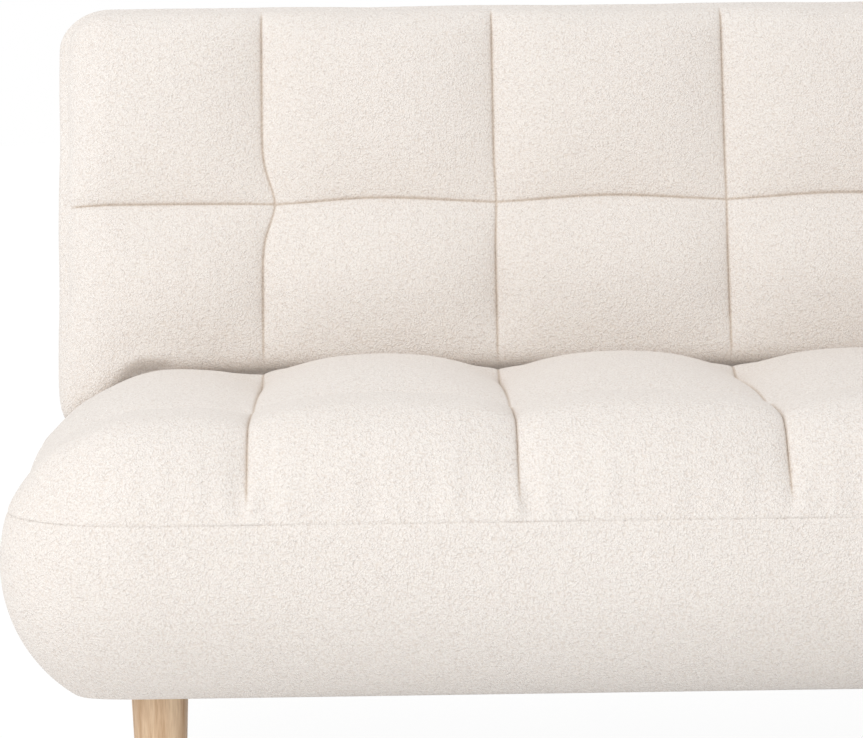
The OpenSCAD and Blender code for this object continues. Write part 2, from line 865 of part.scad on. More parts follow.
// Ratchet wheel: notches for the upright, lounge and flat positions
module ratchet(side) {
    color(steel) on_axis() on_side(side) across(wheel_x, plate_t) difference() {
        circle(wheel_r, $fn = 96);
        circle(pivot_r + pin_gap, $fn = 64);
        rotate(-lean) rivet_holes(rivet_r);
        for (a = [0, lounge_fold, fold]) rotate(a) polygon([
            [-notch_in_half, notch_depth - wheel_r], [notch_in_half, notch_depth - wheel_r],
            [notch_out_half, -wheel_r - cut], [-notch_out_half, -wheel_r - cut]
        ]);
    }
}

module left_ratchet() {
    ratchet(-1);
}

module right_ratchet() {
    ratchet(1);
}

module ratchet_rivets() {
    color(steel) on_back() for (side = [-1, 1]) on_side(side)
        across(arm_x, 2 * plate_t) rivet_holes(rivet_r);
}

module back_arm_bolts() {
    color(steel) on_back() for (side = [-1, 1], s = arm_bolt_shares) on_side(side) {
        bar(arm_x, stile_in + bolt_len - seat_gap, arm_depth, s * arm_reach, bolt_r);
        across(arm_x - bolt_head_t, bolt_head_t) translate([arm_depth, s * arm_reach])
            circle(bolt_head_r, $fn = 6);
    }
}

// Pawl with its tip in the upright notch
module pawl(side) {
    tip = notch_depth - wheel_r - pawl_tip_gap;
    color(black) on_axis() on_side(side)
        across(wheel_x + pawl_inset, plate_t - 2 * pawl_inset) difference() {
            union() {
                translate([0, -pawl_drop]) circle(pawl_base_half, $fn = 48);
                polygon([
                    [-pawl_base_half, -pawl_drop], [pawl_base_half, -pawl_drop],
                    [pawl_tip_half, tip], [-pawl_tip_half, tip]
                ]);
            }
            translate([0, -pawl_drop]) circle(pawl_pin_r + pin_gap, $fn = 48);
        }
}

module left_pawl() {
    pawl(-1);
}

module right_pawl() {
    pawl(1);
}

seat_cover();
seat_foam();
seat_slats();
slat_holders();
left_side_rail();
right_side_rail();
front_rail();
rear_rail();
rear_beam();
centre_rail();
corner_blocks();
dust_cover();
leg_plates();
leg_plate_screws();
hanger_bolts();
front_left_leg();
front_right_leg();
rear_left_leg();
rear_right_leg();
centre_leg();
leg_glides();
left_hinge_plate();
right_hinge_plate();
left_pivot_pin();
right_pivot_pin();
left_pawl_pin();
right_pawl_pin();
left_pawl_spring();
right_pawl_spring();
hinge_plate_bolts();
back_cover();
back_foam();
back_top_rail();
back_bottom_rail();
left_stile();
right_stile();
mid_stiles();
back_webbing();
rear_panel();
left_back_arm();
right_back_arm();
left_ratchet();
right_ratchet();
ratchet_rivets();
back_arm_bolts();
left_pawl();
right_pawl();
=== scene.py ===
import json
import math

import bpy
import numpy as np
from mathutils import Matrix, Vector

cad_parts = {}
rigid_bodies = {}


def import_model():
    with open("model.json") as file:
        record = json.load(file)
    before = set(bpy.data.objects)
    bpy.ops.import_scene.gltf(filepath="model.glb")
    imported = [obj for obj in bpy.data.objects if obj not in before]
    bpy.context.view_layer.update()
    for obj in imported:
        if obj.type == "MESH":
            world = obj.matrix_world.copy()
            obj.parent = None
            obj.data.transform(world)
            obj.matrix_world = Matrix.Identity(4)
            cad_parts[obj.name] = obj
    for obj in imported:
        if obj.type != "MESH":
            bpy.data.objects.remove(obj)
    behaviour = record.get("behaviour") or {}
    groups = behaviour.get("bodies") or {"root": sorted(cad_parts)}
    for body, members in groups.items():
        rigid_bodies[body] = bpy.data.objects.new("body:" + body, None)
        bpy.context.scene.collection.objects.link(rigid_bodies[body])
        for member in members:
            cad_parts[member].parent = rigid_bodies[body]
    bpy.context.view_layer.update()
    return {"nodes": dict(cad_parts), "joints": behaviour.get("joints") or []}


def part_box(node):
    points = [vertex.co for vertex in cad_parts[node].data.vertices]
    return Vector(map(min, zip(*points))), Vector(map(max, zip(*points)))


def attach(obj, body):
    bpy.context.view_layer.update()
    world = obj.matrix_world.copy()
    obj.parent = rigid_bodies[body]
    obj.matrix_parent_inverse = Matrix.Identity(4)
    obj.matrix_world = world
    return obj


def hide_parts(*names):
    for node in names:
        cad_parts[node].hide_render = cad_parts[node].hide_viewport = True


# Looks of a click-clack sofa bed. Metres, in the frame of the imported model: X runs across the width,
# the front faces -Y and Z is up from the floor.

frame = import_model()

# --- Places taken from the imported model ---

SEAT_LOW, SEAT_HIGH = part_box("seat_cover")
FOLD_JOINT = next(j for j in frame["joints"] if j["name"] == "back_fold")
AXIS = Vector(FOLD_JOINT["pos_m"])
LEAN = math.radians(90) - math.radians(FOLD_JOINT["range_deg"][1])

# --- Tufting, shared by the seat and the back ---

COLUMN = 0.265  # from seam to seam
SEAM_COUNT = 6
SEAM_XS = [(i - (SEAM_COUNT - 1) / 2) * COLUMN for i in range(SEAM_COUNT)]
OUTER_SEAM = SEAM_XS[-1]
GROOVE = 0.025  # depth of a seam under the crown
TUFT_DIP = 0.008  # more depth where two seams cross
SLACK = 0.008  # how far the crown is let in, as room for the fleece to swell
CREASE_FADE = math.radians(80)  # elevation at which a seam has its full depth, from the crease
FULL_HOLD = 0.4  # share of its depth from which a seam is held firmly

# --- Grid of a cover ---

GRID = 0.012  # size of a quad on the flat
BESIDE_SEAM = (0.0025, 0.007, 0.014)  # lines of the grid close to a seam
SAME_LINE = 1e-6
CORNER_ANGLE = math.radians(45)
ON_ROUNDING = 1.5  # elevation below which a point of the top is on its rounding
WALL_STEP = 0.1  # each row of the wall has an elevation this much further below zero
FLOOR_MARK = -9.0  # elevation that marks the floor
WALL_SQUARING = 8  # a high power, so that only the last rows of the wall get squarer

# --- Swelling ---

FRAMES = 20
PIN_LEVELS = 20
SEAT_PRESSURE = 4.0
BACK_PRESSURE = 6.5
MOST_SWELL = 0.022
EVENING = 14  # rounds of evening out
SEAM_CREASE = 0.7  # sharpness of a seam under the subdivision
SEAT_BORDER_PIN = 0.75  # hold on the border and the wall of the seat
BACK_WALL_PIN = 0.7
SEAT_FREE_ROWS = 10  # rows of the wall that aren't pinned altogether
BACK_FREE_ROWS = 6
CREASE_HELD = 0.8  # elevation up to which the rolls at the crease are pinned
SHORTEST_EDGE = 0.0003
SPREAD = 0.0005

# --- Seat sizes ---

SEAT_FRONT = SEAT_LOW.y
SEAT_DEPTH = SEAT_HIGH.y - SEAT_LOW.y
SEAT_TOP = SEAT_HIGH.z
SEAT_HALF = SEAT_HIGH.x
BULGE_Z = 0.279  # height of the widest line
UNDER_R = 0.160
UNDER_ANGLE = math.asin((BULGE_Z - SEAT_LOW.z) / UNDER_R)
END_ROUND = 0.155
NOSE_ROUND = 0.100
CREASE_ROUND = 0.080
CREASE_DROP = 0.060
SEAT_CROSS = 0.220  # from the front to the cross seam
NOSE_FADE = math.radians(32)
END_FADE = (math.radians(12), math.radians(60))
BORDER_Z = 0.3335
BORDER_DIP = 0.0017
# share of the seams' painted shade that the fabric's colour gets along the border seam
BORDER_SHADE = 0.15
BORDER_RUN = math.radians(14)  # how soon the fleece is loose above the border
END_DROOP = 0.012  # fall of the crown at the end columns: half beside the seam, half further out
DROOP_RUNS = (0.035, 0.020, 0.090)
TIP_FROM, TIP_RUN, TIP_LESS = 0.83, 0.05, 0.7  # less of that fall at the very end
SHOULDER = 0.006
SHOULDER_Z, SHOULDER_REACH = 0.352, 0.026
SHOULDER_FROM, SHOULDER_RISE = -0.12, 0.1
SHOULDER_TO, SHOULDER_FALL = 0.105, 0.06
SHOULDER_X, SHOULDER_X_RUN = 0.80, 0.06
REAR_FALL = 0.013  # fall of the crown from the cross seam to the crease
CREASE_PULL = 0.011  # more depth of the seams at the crease
REAR_POWER = 2.8  # squareness of the rear roll
PUCKER = 0.0024
PUCKER_LENGTH, PUCKER_SEED = 0.042, 11
PUCKER_RISE, PUCKER_REACH = 0.018, 0.040  # above the border
PUCKER_LESS = 0.8  # at the ends
RIM = 0.009
REAR_RIM = (0.002, 0.0038)
BOTTOM_SQUARENESS = 3.0
SEAT_FLOOR_Z = 0.14885
WHEEL_POCKET_ROOM = 0.0055
POCKET_HALF = 0.022
PAWL_ROOM = 0.0085
PAWL_SLOPE = 1.05
PAWL_HALF = 0.014

# --- Back sizes, about the hinge axis: up the back, and out of its face ---

BACK_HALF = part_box("back_cover")[1].x
BACK_LOW_U = 0.014
BACK_LEN = 0.445
BACK_FACE = 0.060
BACK_REAR = -0.090
BACK_END_ROUND = 0.060
BACK_END_RISE = 0.050
BACK_END_SLACK = 0.004
BACK_TOP_ROUND = 0.050
TOP_FADE = math.radians(95)
CREASE_CORNER = 7.0  # squareness of the low corners in plan
CREASE_POWERS = (3.4, 6.0)  # squareness of the low roll, in the middle and at the ends
CREASE_END_FROM, CREASE_END_RUN = 0.70, 0.12
END_SINK, SINK_RUN = 0.004, 0.03  # how much lower the low roll is at the end columns
FRONT_DEEP = 0.015  # how far under the face the front's full hang starts
END_HANG = 0.042
HANG_FROM = 0.838
HANG_FULL = 0.868
HANG_EARLIER = 0.042
HANG_CORNER, CORNER_RUN = 0.022, 0.02
BACK_CROSS = 0.206
REAR_ROUND = 0.030
LOW_REAR_ROUND = 0.008
SIDE_PULLS = (0.014, 0.002, 0.001, -0.004, 0.006, -0.010)
SIDE_REACH = 0.034
CROSS_ARCH, ARCH_REACH = 0.005, 0.09
WHEEL_ROOM = 0.0035
WRAP_HALF, WRAP_RUN = 0.028, 0.014
WRAP_FROM, WRAP_START, WRAP_END = map(math.radians, (20.4, 47.7, 98))
PANEL_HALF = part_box("rear_panel")[1].x
PANEL_LOW_U = 0.026
PANEL_HIGH_U = 0.411
PANEL_SEAM = 0.003
PANEL_TUCK = ((0.0, 0.0012), (0.001, 0.0021))  # rows that go in under the panel: inset and rise

# --- Staples of the dust cloth ---

STAPLE_SPACING = 0.038
STAPLE_EDGE = 0.014
STAPLE_PROUD = 0.0003


def smooth(x):
    """Smooth step from 0 to 1 of numbers or arrays."""
    x = np.clip(x, 0.0, 1.0)
    return x * x * (3 - 2 * x)


def ripple(x, wavelength, seed, waves=9):
    """Uneven wave along x, the same on each run, with a spread of about 1."""
    rng = np.random.default_rng(seed)
    out = np.zeros_like(x)
    for stretch, phase in zip(rng.uniform(0.6, 1.7, waves), rng.uniform(0, 2 * math.pi, waves)):
        out += np.sin(2 * math.pi * x / (wavelength * stretch) + phase)
    return out * math.sqrt(2 / waves)


def pillow(distance, reach):
    """Share of a seam's depth at a distance from it, for a round pillow that crowns at reach."""
    near = 1 - np.clip(distance / reach, 0, 1)
    return 1 - np.sqrt(1 - near ** 2)


def seam_depth(along, cross):
    """Depth under the crown, from the shares of the column seams and of the cross seam."""
    return GROOVE * (1 - (1 - along) * (1 - cross)) + TUFT_DIP * along * cross


def grid_lines(low, high, r_low, r_high, marks, steps_low, steps_high):
    """Lines of a grid that pass through the marks, as (place on the flat, slope on the rounding)."""
    beside = [m + side * gap for m in marks for side in (-1, 1) for gap in BESIDE_SEAM]
    stops = sorted([low + r_low, high - r_high] + list(marks) + beside)
    flat = []
    for a, b in zip(stops, stops[1:]):
        n = max(1, round((b - a) / GRID))
        flat += [a + (b - a) * k / n for k in range(n)]
    flat.append(stops[-1])
    falling = [math.tan(CORNER_ANGLE * k / steps_low) for k in range(steps_low, 0, -1)]
    rising = [math.tan(CORNER_ANGLE * k / steps_high) for k in range(1, steps_high + 1)]
    return ([(flat[0], -t) for t in falling] + [(p, 0.0) for p in flat]
            + [(flat[-1], t) for t in rising])


class Skin:
    """Closed rounded box in plan coordinates a and b with height h, made as one grid of quads.

    Its top and its floor are grids, joined by a wall of rows round the outline. ends, low and high
    describe the sides across a, at the low end of b and at the high end of b: each has the rounding
    in plan, the rise of the rounding, and the wall's rows below it as (inset, height). low and high
    also have the power of their corners in plan, and ends has how much it grows down the wall. Each
    point keeps its elevation angle on the rounding, which is negative on the wall and the floor.
    """

    def __init__(self, half, span, top, ends, low, high, cross, steps, upper_rows):
        self.half, self.span, self.top = half, span, top
        self.ends, self.low, self.high, self.cross = ends, low, high, cross
        a_lines = grid_lines(-half, half, ends["round"], ends["round"], SEAM_XS, steps[0], steps[0])
        b_lines = grid_lines(*span, low["round"], high["round"], [cross], steps[1], steps[2])
        self.na, self.nb = len(a_lines), len(b_lines)
        grid = np.array([(a[0], a[1], b[0], b[1]) for a in a_lines for b in b_lines])
        self.build(grid, upper_rows)

    def outline(self):
        """Indices of the top grid's edge, in order round it."""
        na, nb = self.na, self.nb
        front = [i * nb for i in range(na)]
        right = [(na - 1) * nb + j for j in range(1, nb)]
        rear = [i * nb + nb - 1 for i in range(na - 2, -1, -1)]
        left = [j for j in range(nb - 2, 0, -1)]
        return np.array(front + right + rear + left)

    def build(self, grid, upper_rows):
        """Fills the arrays of points, elevations and weights, and the faces."""
        flat_a, slope_a, flat_b, slope_b = grid.T
        edge = self.outline()
        rows = [self.dome(flat_a, slope_a, flat_b, slope_b, np.arctan2(1, np.hypot(slope_a, slope_b)))]
        ring = [v[edge] for v in (flat_a, slope_a, flat_b, slope_b)]
        rim_angle = np.arctan2(1, np.hypot(ring[1], ring[3]))
        for share, angle in upper_rows:
            rows.append(self.dome(*ring, angle + (rim_angle - angle) * share))
        for k in range(len(self.ends["rows"])):
            rows.append(self.wall(*ring, k))
        self.row_starts = np.cumsum([0] + [len(r[0]) for r in rows])
        rows.append(self.floor(rows[-1]))
        self.points = np.concatenate([r[0] for r in rows])
        self.normals = np.concatenate([r[1] for r in rows])
        self.angle = np.concatenate([r[2] for r in rows])
        self.end_share = np.concatenate([r[3] for r in rows])
        self.line_a = np.concatenate([flat_a] + [ring[0]] * (len(rows) - 2) + [flat_a])
        self.line_b = np.concatenate([flat_b] + [ring[2]] * (len(rows) - 2) + [flat_b])
        self.side_b = np.concatenate([slope_b] + [ring[3]] * (len(rows) - 2) + [slope_b])
        self.faces = self.quads(edge, len(rows) - 2)

    def across(self, slope_a, slope_b, squarer=0.0):
        """Length of a direction in plan: round corners by the power 2, squarer ones by a higher one."""
        power = np.where(slope_b < 0, self.low["corner"], self.high["corner"]) + squarer
        return np.maximum((abs(slope_a) ** power + abs(slope_b) ** power) ** (1 / power), 1e-9)

    def blended(self, slope_a, slope_b, key):
        """A side's number at each point, blended round the corners."""
        total = slope_a ** 2 + slope_b ** 2
        share = np.where(total > 0, slope_a ** 2 / np.maximum(total, 1e-9), 0.5)
        side = np.where(slope_b < 0, key(self.low), key(self.high))
        return share, share * key(self.ends) + (1 - share) * side

    def dome(self, flat_a, slope_a, flat_b, slope_b, angle):
        """Points of the rounded top at an elevation angle, with their normals."""
        share, rise = self.blended(slope_a, slope_b, lambda s: s["rise"])
        round_b = np.where(slope_b < 0, self.low["round"], self.high["round"])
        across = self.across(slope_a, slope_b)
        out_a = np.cos(angle) * slope_a / across
        out_b = np.cos(angle) * slope_b / across
        points = np.stack([
            flat_a + self.ends["round"] * out_a,
            flat_b + round_b * out_b,
            self.top - rise * (1 - np.sin(angle))], 1)
        normals = np.stack([out_a / self.ends["round"], out_b / round_b, np.sin(angle) / rise], 1)
        normals /= np.linalg.norm(normals, axis=1)[:, None]
        return points, normals, angle, share

    def wall(self, flat_a, slope_a, flat_b, slope_b, k):
        """Points of row k of the wall below the widest line, with level normals."""
        share, height = self.blended(slope_a, slope_b, lambda s: s["rows"][k][1])
        down = (k + 1) / len(self.ends["rows"])
        across = self.across(slope_a, slope_b, self.ends["squareness"] * down ** WALL_SQUARING)
        in_a = self.ends["rows"][k][0]
        in_low, in_high = self.low["rows"][k][0], self.high["rows"][k][0]
        straight = self.half - self.ends["round"]
        a = flat_a * (self.half - max(in_a, self.ends["round"])) / straight
        a = a + slope_a / across * max(self.ends["round"] - in_a, 0)
        b0, b1 = self.span[0] + self.low["round"], self.span[1] - self.high["round"]
        c0 = self.span[0] + max(self.low["round"], in_low)
        c1 = self.span[1] - max(self.high["round"], in_high)
        corner = np.where(slope_b < 0, max(self.low["round"] - in_low, 0),
                          max(self.high["round"] - in_high, 0))
        b = c0 + (flat_b - b0) / (b1 - b0) * (c1 - c0) + slope_b / across * corner
        normals = np.stack([slope_a / across, slope_b / across, np.zeros(len(a))], 1)
        return np.stack([a, b, height], 1), normals, np.full(len(a), -WALL_STEP * (k + 1)), share

    def floor(self, last):
        """Closing grid inside the last row of the wall, whose edge points repeat that row."""
        na, nb = self.na, self.nb
        ring = last[0]
        front, right = ring[:na], ring[na - 1:na + nb - 1]
        rear = ring[na + nb - 2:2 * na + nb - 2][::-1]
        left = np.concatenate([ring[2 * na + nb - 3:], ring[:1]])[::-1]
        u = ((front[:, 0] - front[0, 0]) / (front[-1, 0] - front[0, 0]))[:, None, None]
        v = ((left[:, 1] - left[0, 1]) / (left[-1, 1] - left[0, 1]))[None, :, None]
        patch = ((1 - v) * front[:, None] + v * rear[:, None] + (1 - u) * left[None] + u * right[None]
                 - (1 - u) * (1 - v) * front[0] - u * (1 - v) * front[-1]
                 - (1 - u) * v * rear[0] - u * v * rear[-1])
        points = patch.reshape(-1, 3)
        normals = np.tile([0.0, 0.0, -1.0], (len(points), 1))
        return points, normals, np.full(len(points), FLOOR_MARK), np.full(len(points), 0.5)

    def quads(self, edge, wall_rows):
        """Faces of the top, the wall and the floor. The floor's edge is the wall's last row."""
        na, nb = self.na, self.nb

        def sheet(index, flip):
            faces = []
            for i in range(na - 1):
                for j in range(nb - 1):
                    face = [index[i * nb + j], index[(i + 1) * nb + j],
                            index[(i + 1) * nb + j + 1], index[i * nb + j + 1]]
                    faces.append(face[::-1] if flip else face)
            return faces

        n = len(edge)
        rings = [edge] + [np.arange(s, s + n) for s in self.row_starts[1:wall_rows + 1]]
        faces = sheet(np.arange(na * nb), False)
        for upper, lower in zip(rings, rings[1:]):
            faces += [[upper[k], lower[k], lower[(k + 1) % n], upper[(k + 1) % n]] for k in range(n)]
        floor_index = np.arange(na * nb) + self.row_starts[-1]
        floor_index[edge] = rings[-1]
        return faces + sheet(floor_index, True)

    def column_share(self):
        """Share of the column seams' depth at each point."""
        distance = np.min([abs(self.points[:, 0] - x) for x in SEAM_XS], axis=0)
        return pillow(distance, COLUMN / 2)

    def cross_share(self):
        """Share of the cross seam's depth at each point."""
        b = self.points[:, 1]
        low_reach = self.cross - self.span[0] - self.low["round"]
        high_reach = self.span[1] - self.high["round"] - self.cross
        return np.where(b < self.cross, pillow(self.cross - b, low_reach),
                        pillow(b - self.cross, high_reach))

    def off_ends(self):
        """Where column seams can be: 1 on the top, 0 below it, and fading on the rounding of the ends."""
        return (self.angle > 0) * (1 - self.end_share * (self.angle < ON_ROUNDING))

    def seam_hold(self, column_fade, cross_fade):
        """How firmly a seam holds each point, from the fades of the two kinds of seam."""
        on_column = np.min([abs(self.line_a - x) for x in SEAM_XS], axis=0) < SAME_LINE
        on_cross = abs(self.line_b - self.cross) < SAME_LINE
        hold = np.maximum(on_column * smooth(column_fade / FULL_HOLD),
                          on_cross * smooth(cross_fade / FULL_HOLD))
        return hold * (self.angle > 0)

    def pins(self, hold, stiff, stiffness, free_rows, crease):
        """How firmly the simulation holds each point: a seam by its hold, the stiff part by its
        stiffness, and the low roll at the crease and the wall below its free rows altogether."""
        pins = np.maximum(hold, np.where(stiff, stiffness, 0.0))
        fixed = (self.angle < -WALL_STEP * (free_rows + 0.5)) | (crease & (self.angle < CREASE_HELD))
        return np.maximum(pins, np.where(fixed, 1.0, 0.0))


def mesh_object(name, points, faces, place):
    """Mesh object whose points are given in plan coordinates and placed by a function."""
    used = np.unique(np.concatenate([np.ravel(f) for f in faces]))
    order = {int(old): new for new, old in enumerate(used)}
    mesh = bpy.data.meshes.new(name)
    mesh.from_pydata(place(points[used]).tolist(), [], [[order[int(i)] for i in f] for f in faces])
    mesh.validate()
    obj = bpy.data.objects.new(name, mesh)
    bpy.context.scene.collection.objects.link(obj)
    mesh.shade_smooth()
    return obj, used


def edge_ends(obj):
    """The two points of each edge."""
    ends = np.zeros(len(obj.data.edges) * 2, int)
    obj.data.edges.foreach_get("vertices", ends)
    return ends.reshape(-1, 2)


def evened(obj, move, pins):
    """Evens out how far neighbouring points move, where nothing holds them."""
    ends = edge_ends(obj)
    count = np.bincount(ends.ravel(), minlength=len(move))[:, None]
    for _ in range(EVENING):
        around = np.zeros_like(move)
        np.add.at(around, ends[:, 0], move[ends[:, 1]])
        np.add.at(around, ends[:, 1], move[ends[:, 0]])
        move = move + (1 - pins[:, None]) * 0.5 * (around / count - move)
    return move


def spread(obj, points):
    """Moves points that share a place a little apart, because a cloth solver stops on an edge without
    a length. Only the simulation uses them, and all of them are pinned."""
    ends = edge_ends(obj)
    short = np.linalg.norm(points[ends[:, 0]] - points[ends[:, 1]], axis=1) < SHORTEST_EDGE
    crowded = np.unique(ends[short])
    apart = points.copy()
    apart[crowded] += SPREAD * np.sin(crowded[:, None] * np.array([1.3, 2.1, 3.7]))
    return apart


def inflate(obj, pins, pressure):
    """Swells a skin between its pinned seams with a cloth simulation, and keeps the result."""
    group = obj.vertex_groups.new(name="pins")
    levels = np.ceil(pins * PIN_LEVELS)
    for level in range(1, PIN_LEVELS + 1):
        group.add([int(i) for i in np.flatnonzero(levels == level)], level / PIN_LEVELS, "REPLACE")
    cloth = obj.modifiers.new("cloth", "CLOTH")
    settings = cloth.settings
    settings.quality = 6
    settings.mass = 0.25
    settings.tension_stiffness = 12
    settings.compression_stiffness = 12
    settings.shear_stiffness = 4
    settings.bending_stiffness = 0.4
    settings.use_pressure = True
    settings.uniform_pressure_force = pressure
    settings.shrink_min = -0.02
    settings.vertex_group_mass = "pins"
    settings.effector_weights.gravity = 0
    cloth.collision_settings.use_collision = False
    cloth.point_cache.frame_start = 1
    cloth.point_cache.frame_end = FRAMES
    before = np.array([v.co for v in obj.data.vertices])
    apart = spread(obj, before)
    obj.data.vertices.foreach_set("co", apart.ravel())
    scene = bpy.context.scene
    for step in range(1, FRAMES + 1):
        scene.frame_set(step)
    swollen = obj.evaluated_get(bpy.context.evaluated_depsgraph_get())
    after = np.array([v.co for v in swollen.data.vertices])
    move = evened(obj, after - apart, pins)
    length = np.linalg.norm(move, axis=1)
    keep = MOST_SWELL * np.tanh(length / MOST_SWELL) / np.maximum(length, 1e-9)
    obj.modifiers.remove(cloth)
    obj.vertex_groups.remove(group)
    obj.data.vertices.foreach_set("co", (before + move * keep[:, None]).ravel())
    obj.data.update()
    scene.frame_set(1)


def sharpen(obj, hold, shade):
    """Keeps the seams crisp under the subdivision by a crease on the edges along them, and marks them
    for the fabric's painted shade in the grooves, with the darker backing where the pile parts."""
    layer = obj.data.attributes.new("crease_edge", "FLOAT", "EDGE")
    both = hold[edge_ends(obj)].min(axis=1)
    layer.data.foreach_set("value", (SEAM_CREASE * both).astype(np.float32))
    # this mark paints shade into the fabric's colour along the seam grooves
    marks = obj.data.attributes.new("seam", "FLOAT", "POINT")
    marks.data.foreach_set("value", shade.astype(np.float32))


def subdivide(obj):
    """Adds the last subdivision."""
    modifier = obj.modifiers.new("subdivision", "SUBSURF")
    modifier.levels = 1
    modifier.render_levels = 1


# --- Camera ---

CAMERA_PLACE = (-0.534, -3.368, 0.925)
CAMERA_PITCH, CAMERA_YAW, CAMERA_ROLL = map(math.radians, (8.42, 1.0, 0.6))
CAMERA_LENS, SENSOR = 131.1, 36
CAMERA_REACH = 50


def add_camera():
    data = bpy.data.cameras.new("camera")
    data.sensor_width = SENSOR
    data.lens = CAMERA_LENS
    data.clip_end = CAMERA_REACH
    camera = bpy.data.objects.new("camera", data)
    bpy.context.scene.collection.objects.link(camera)
    level = math.cos(CAMERA_PITCH)
    ahead = Vector((math.sin(CAMERA_YAW) * level, math.cos(CAMERA_YAW) * level, -math.sin(CAMERA_PITCH)))
    turn = ahead.to_track_quat("-Z", "Y").to_matrix().to_4x4()
    turn = Matrix.Rotation(CAMERA_ROLL, 4, ahead) @ turn
    camera.matrix_world = Matrix.Translation(CAMERA_PLACE) @ turn
    bpy.context.scene.camera = camera


add_camera()


# --- Materials ---

class Nodes:
    """Node tree under construction, empty at first."""

    def __init__(self, tree):
        self.tree = tree
        tree.nodes.clear()

    def add(self, kind, settings=None, **inputs):
        """Adds a node, with the values or links of its inputs by name."""
        node = self.tree.nodes.new(kind)
        for key, value in (settings or {}).items():
            setattr(node, key, value)
        for key, value in inputs.items():
            self.feed(node.inputs[key.replace("_", " ")], value)
        return node

    def feed(self, socket, value):
        if isinstance(value, bpy.types.NodeSocket):
            self.tree.links.new(value, socket)
        else:
            socket.default_value = value

    def math(self, operation, a, b):
        node = self.add("ShaderNodeMath", {"operation": operation})
        self.feed(node.inputs[0], a)
        self.feed(node.inputs[1], b)
        return node.outputs[0]


class Finish(Nodes):
    """Material under construction: a Principled shader and the nodes that feed it."""

    def __init__(self, name, roughness, **sockets):
        self.material = bpy.data.materials.new(name)
        self.material.use_nodes = True
        self.tree = self.material.node_tree
        self.shader = self.tree.nodes["Principled BSDF"]
        self.shader.inputs["Roughness"].default_value = roughness
        for key, value in sockets.items():
            self.shader.inputs[key.replace("_", " ")].default_value = value
        self.place = self.add("ShaderNodeTexCoord").outputs["Object"]

    def stretched(self, x, y, z):
        """Object coordinates scaled along each axis."""
        return self.add("ShaderNodeMapping", Vector=self.place, Scale=(x, y, z)).outputs[0]

    def noise(self, scale, detail=2.0, where=None, distortion=0.0):
        """Noise with this many waves to the metre, or to the unit of the coordinates given."""
        return self.add("ShaderNodeTexNoise", Vector=where or self.place, Scale=scale,
                        Detail=detail, Distortion=distortion).outputs["Fac"]

    def ramp(self, factor, *stops):
        """Colour from stops, each a place on the ramp and its colour."""
        node = self.add("ShaderNodeValToRGB", Fac=factor)
        elements = node.color_ramp.elements
        while len(elements) < len(stops):
            elements.new(0.5)
        for element, (position, colour) in zip(elements, stops):
            element.position = position
            element.color = (*colour, 1)
        return node.outputs["Color"]

    def times(self, a, b):
        """Product of two colours."""
        node = self.add("ShaderNodeMix", {"data_type": "RGBA", "blend_type": "MULTIPLY"})
        for socket, value in zip((node.inputs[0], node.inputs[6], node.inputs[7]), (1.0, a, b)):
            self.feed(socket, value)
        return node.outputs[2]

    def colour(self, source):
        self.feed(self.shader.inputs["Base Color"], source)

    def roughness(self, source):
        self.feed(self.shader.inputs["Roughness"], source)

    def bump(self, height, distance, strength=1.0):
        """Adds a layer of relief, of a depth in metres, on top of those before it."""
        node = self.add("ShaderNodeBump", Height=height, Distance=distance, Strength=strength)
        normal = self.shader.inputs["Normal"]
        if normal.links:
            self.tree.links.new(normal.links[0].from_socket, node.inputs["Normal"])
        self.tree.links.new(node.outputs["Normal"], normal)


def boucle():
    """Cream looped fleece: small curls in two sizes, with painted shade between the curls and in the seams.
    """
    f = Finish("boucle", 0.95, Specular_IOR_Level=0.15, Sheen_Weight=0.2, Sheen_Roughness=0.6)
    drift = f.add("ShaderNodeTexNoise", Vector=f.place, Scale=300.0, Detail=1.0).outputs["Color"]
    wander = f.add("ShaderNodeVectorMath", {"operation": "MULTIPLY_ADD"})
    f.feed(wander.inputs[0], drift)
    wander.inputs[1].default_value = (0.0018, 0.0018, 0.0018)
    f.feed(wander.inputs[2], f.place)
    curls = f.add("ShaderNodeTexVoronoi", {"feature": "SMOOTH_F1"},
                  Vector=wander.outputs[0], Scale=500.0, Smoothness=0.35).outputs["Distance"]
    tufts = f.noise(260.0, 3.0, distortion=0.3)
    lay = f.noise(70.0, 2.0)
    pile = f.math("SUBTRACT", 1.0, curls)
    # painted shade: the colour is lighter on the curl tops and darker in the hollows between the curls
    shade = f.ramp(curls, (0.05, (0.985, 0.945, 0.91)), (0.45, (0.93, 0.88, 0.835)),
                   (0.85, (0.83, 0.76, 0.70)))
    # painted shade: a little darker where the tufts sink
    tuft_shade = f.ramp(tufts, (0.3, (0.94, 0.925, 0.92)), (0.7, (1.0, 1.0, 0.99)))
    worn = f.ramp(f.noise(4.0, 3.0), (0.3, (0.975, 0.97, 0.965)), (0.7, (1.0, 1.0, 1.0)))
    seam = f.add("ShaderNodeAttribute", {"attribute_name": "seam"}).outputs["Fac"]
    # painted shade in the seam grooves, with the darker backing where the pile parts
    painted_seam_shade = f.ramp(seam, (0.1, (1.0, 1.0, 1.0)), (0.9, (0.76, 0.69, 0.62)))
    f.colour(f.times(f.times(f.times(shade, tuft_shade), worn), painted_seam_shade))
    f.bump(lay, 0.0010)
    f.bump(tufts, 0.0008)
    f.bump(pile, 0.0011)
    return f.material


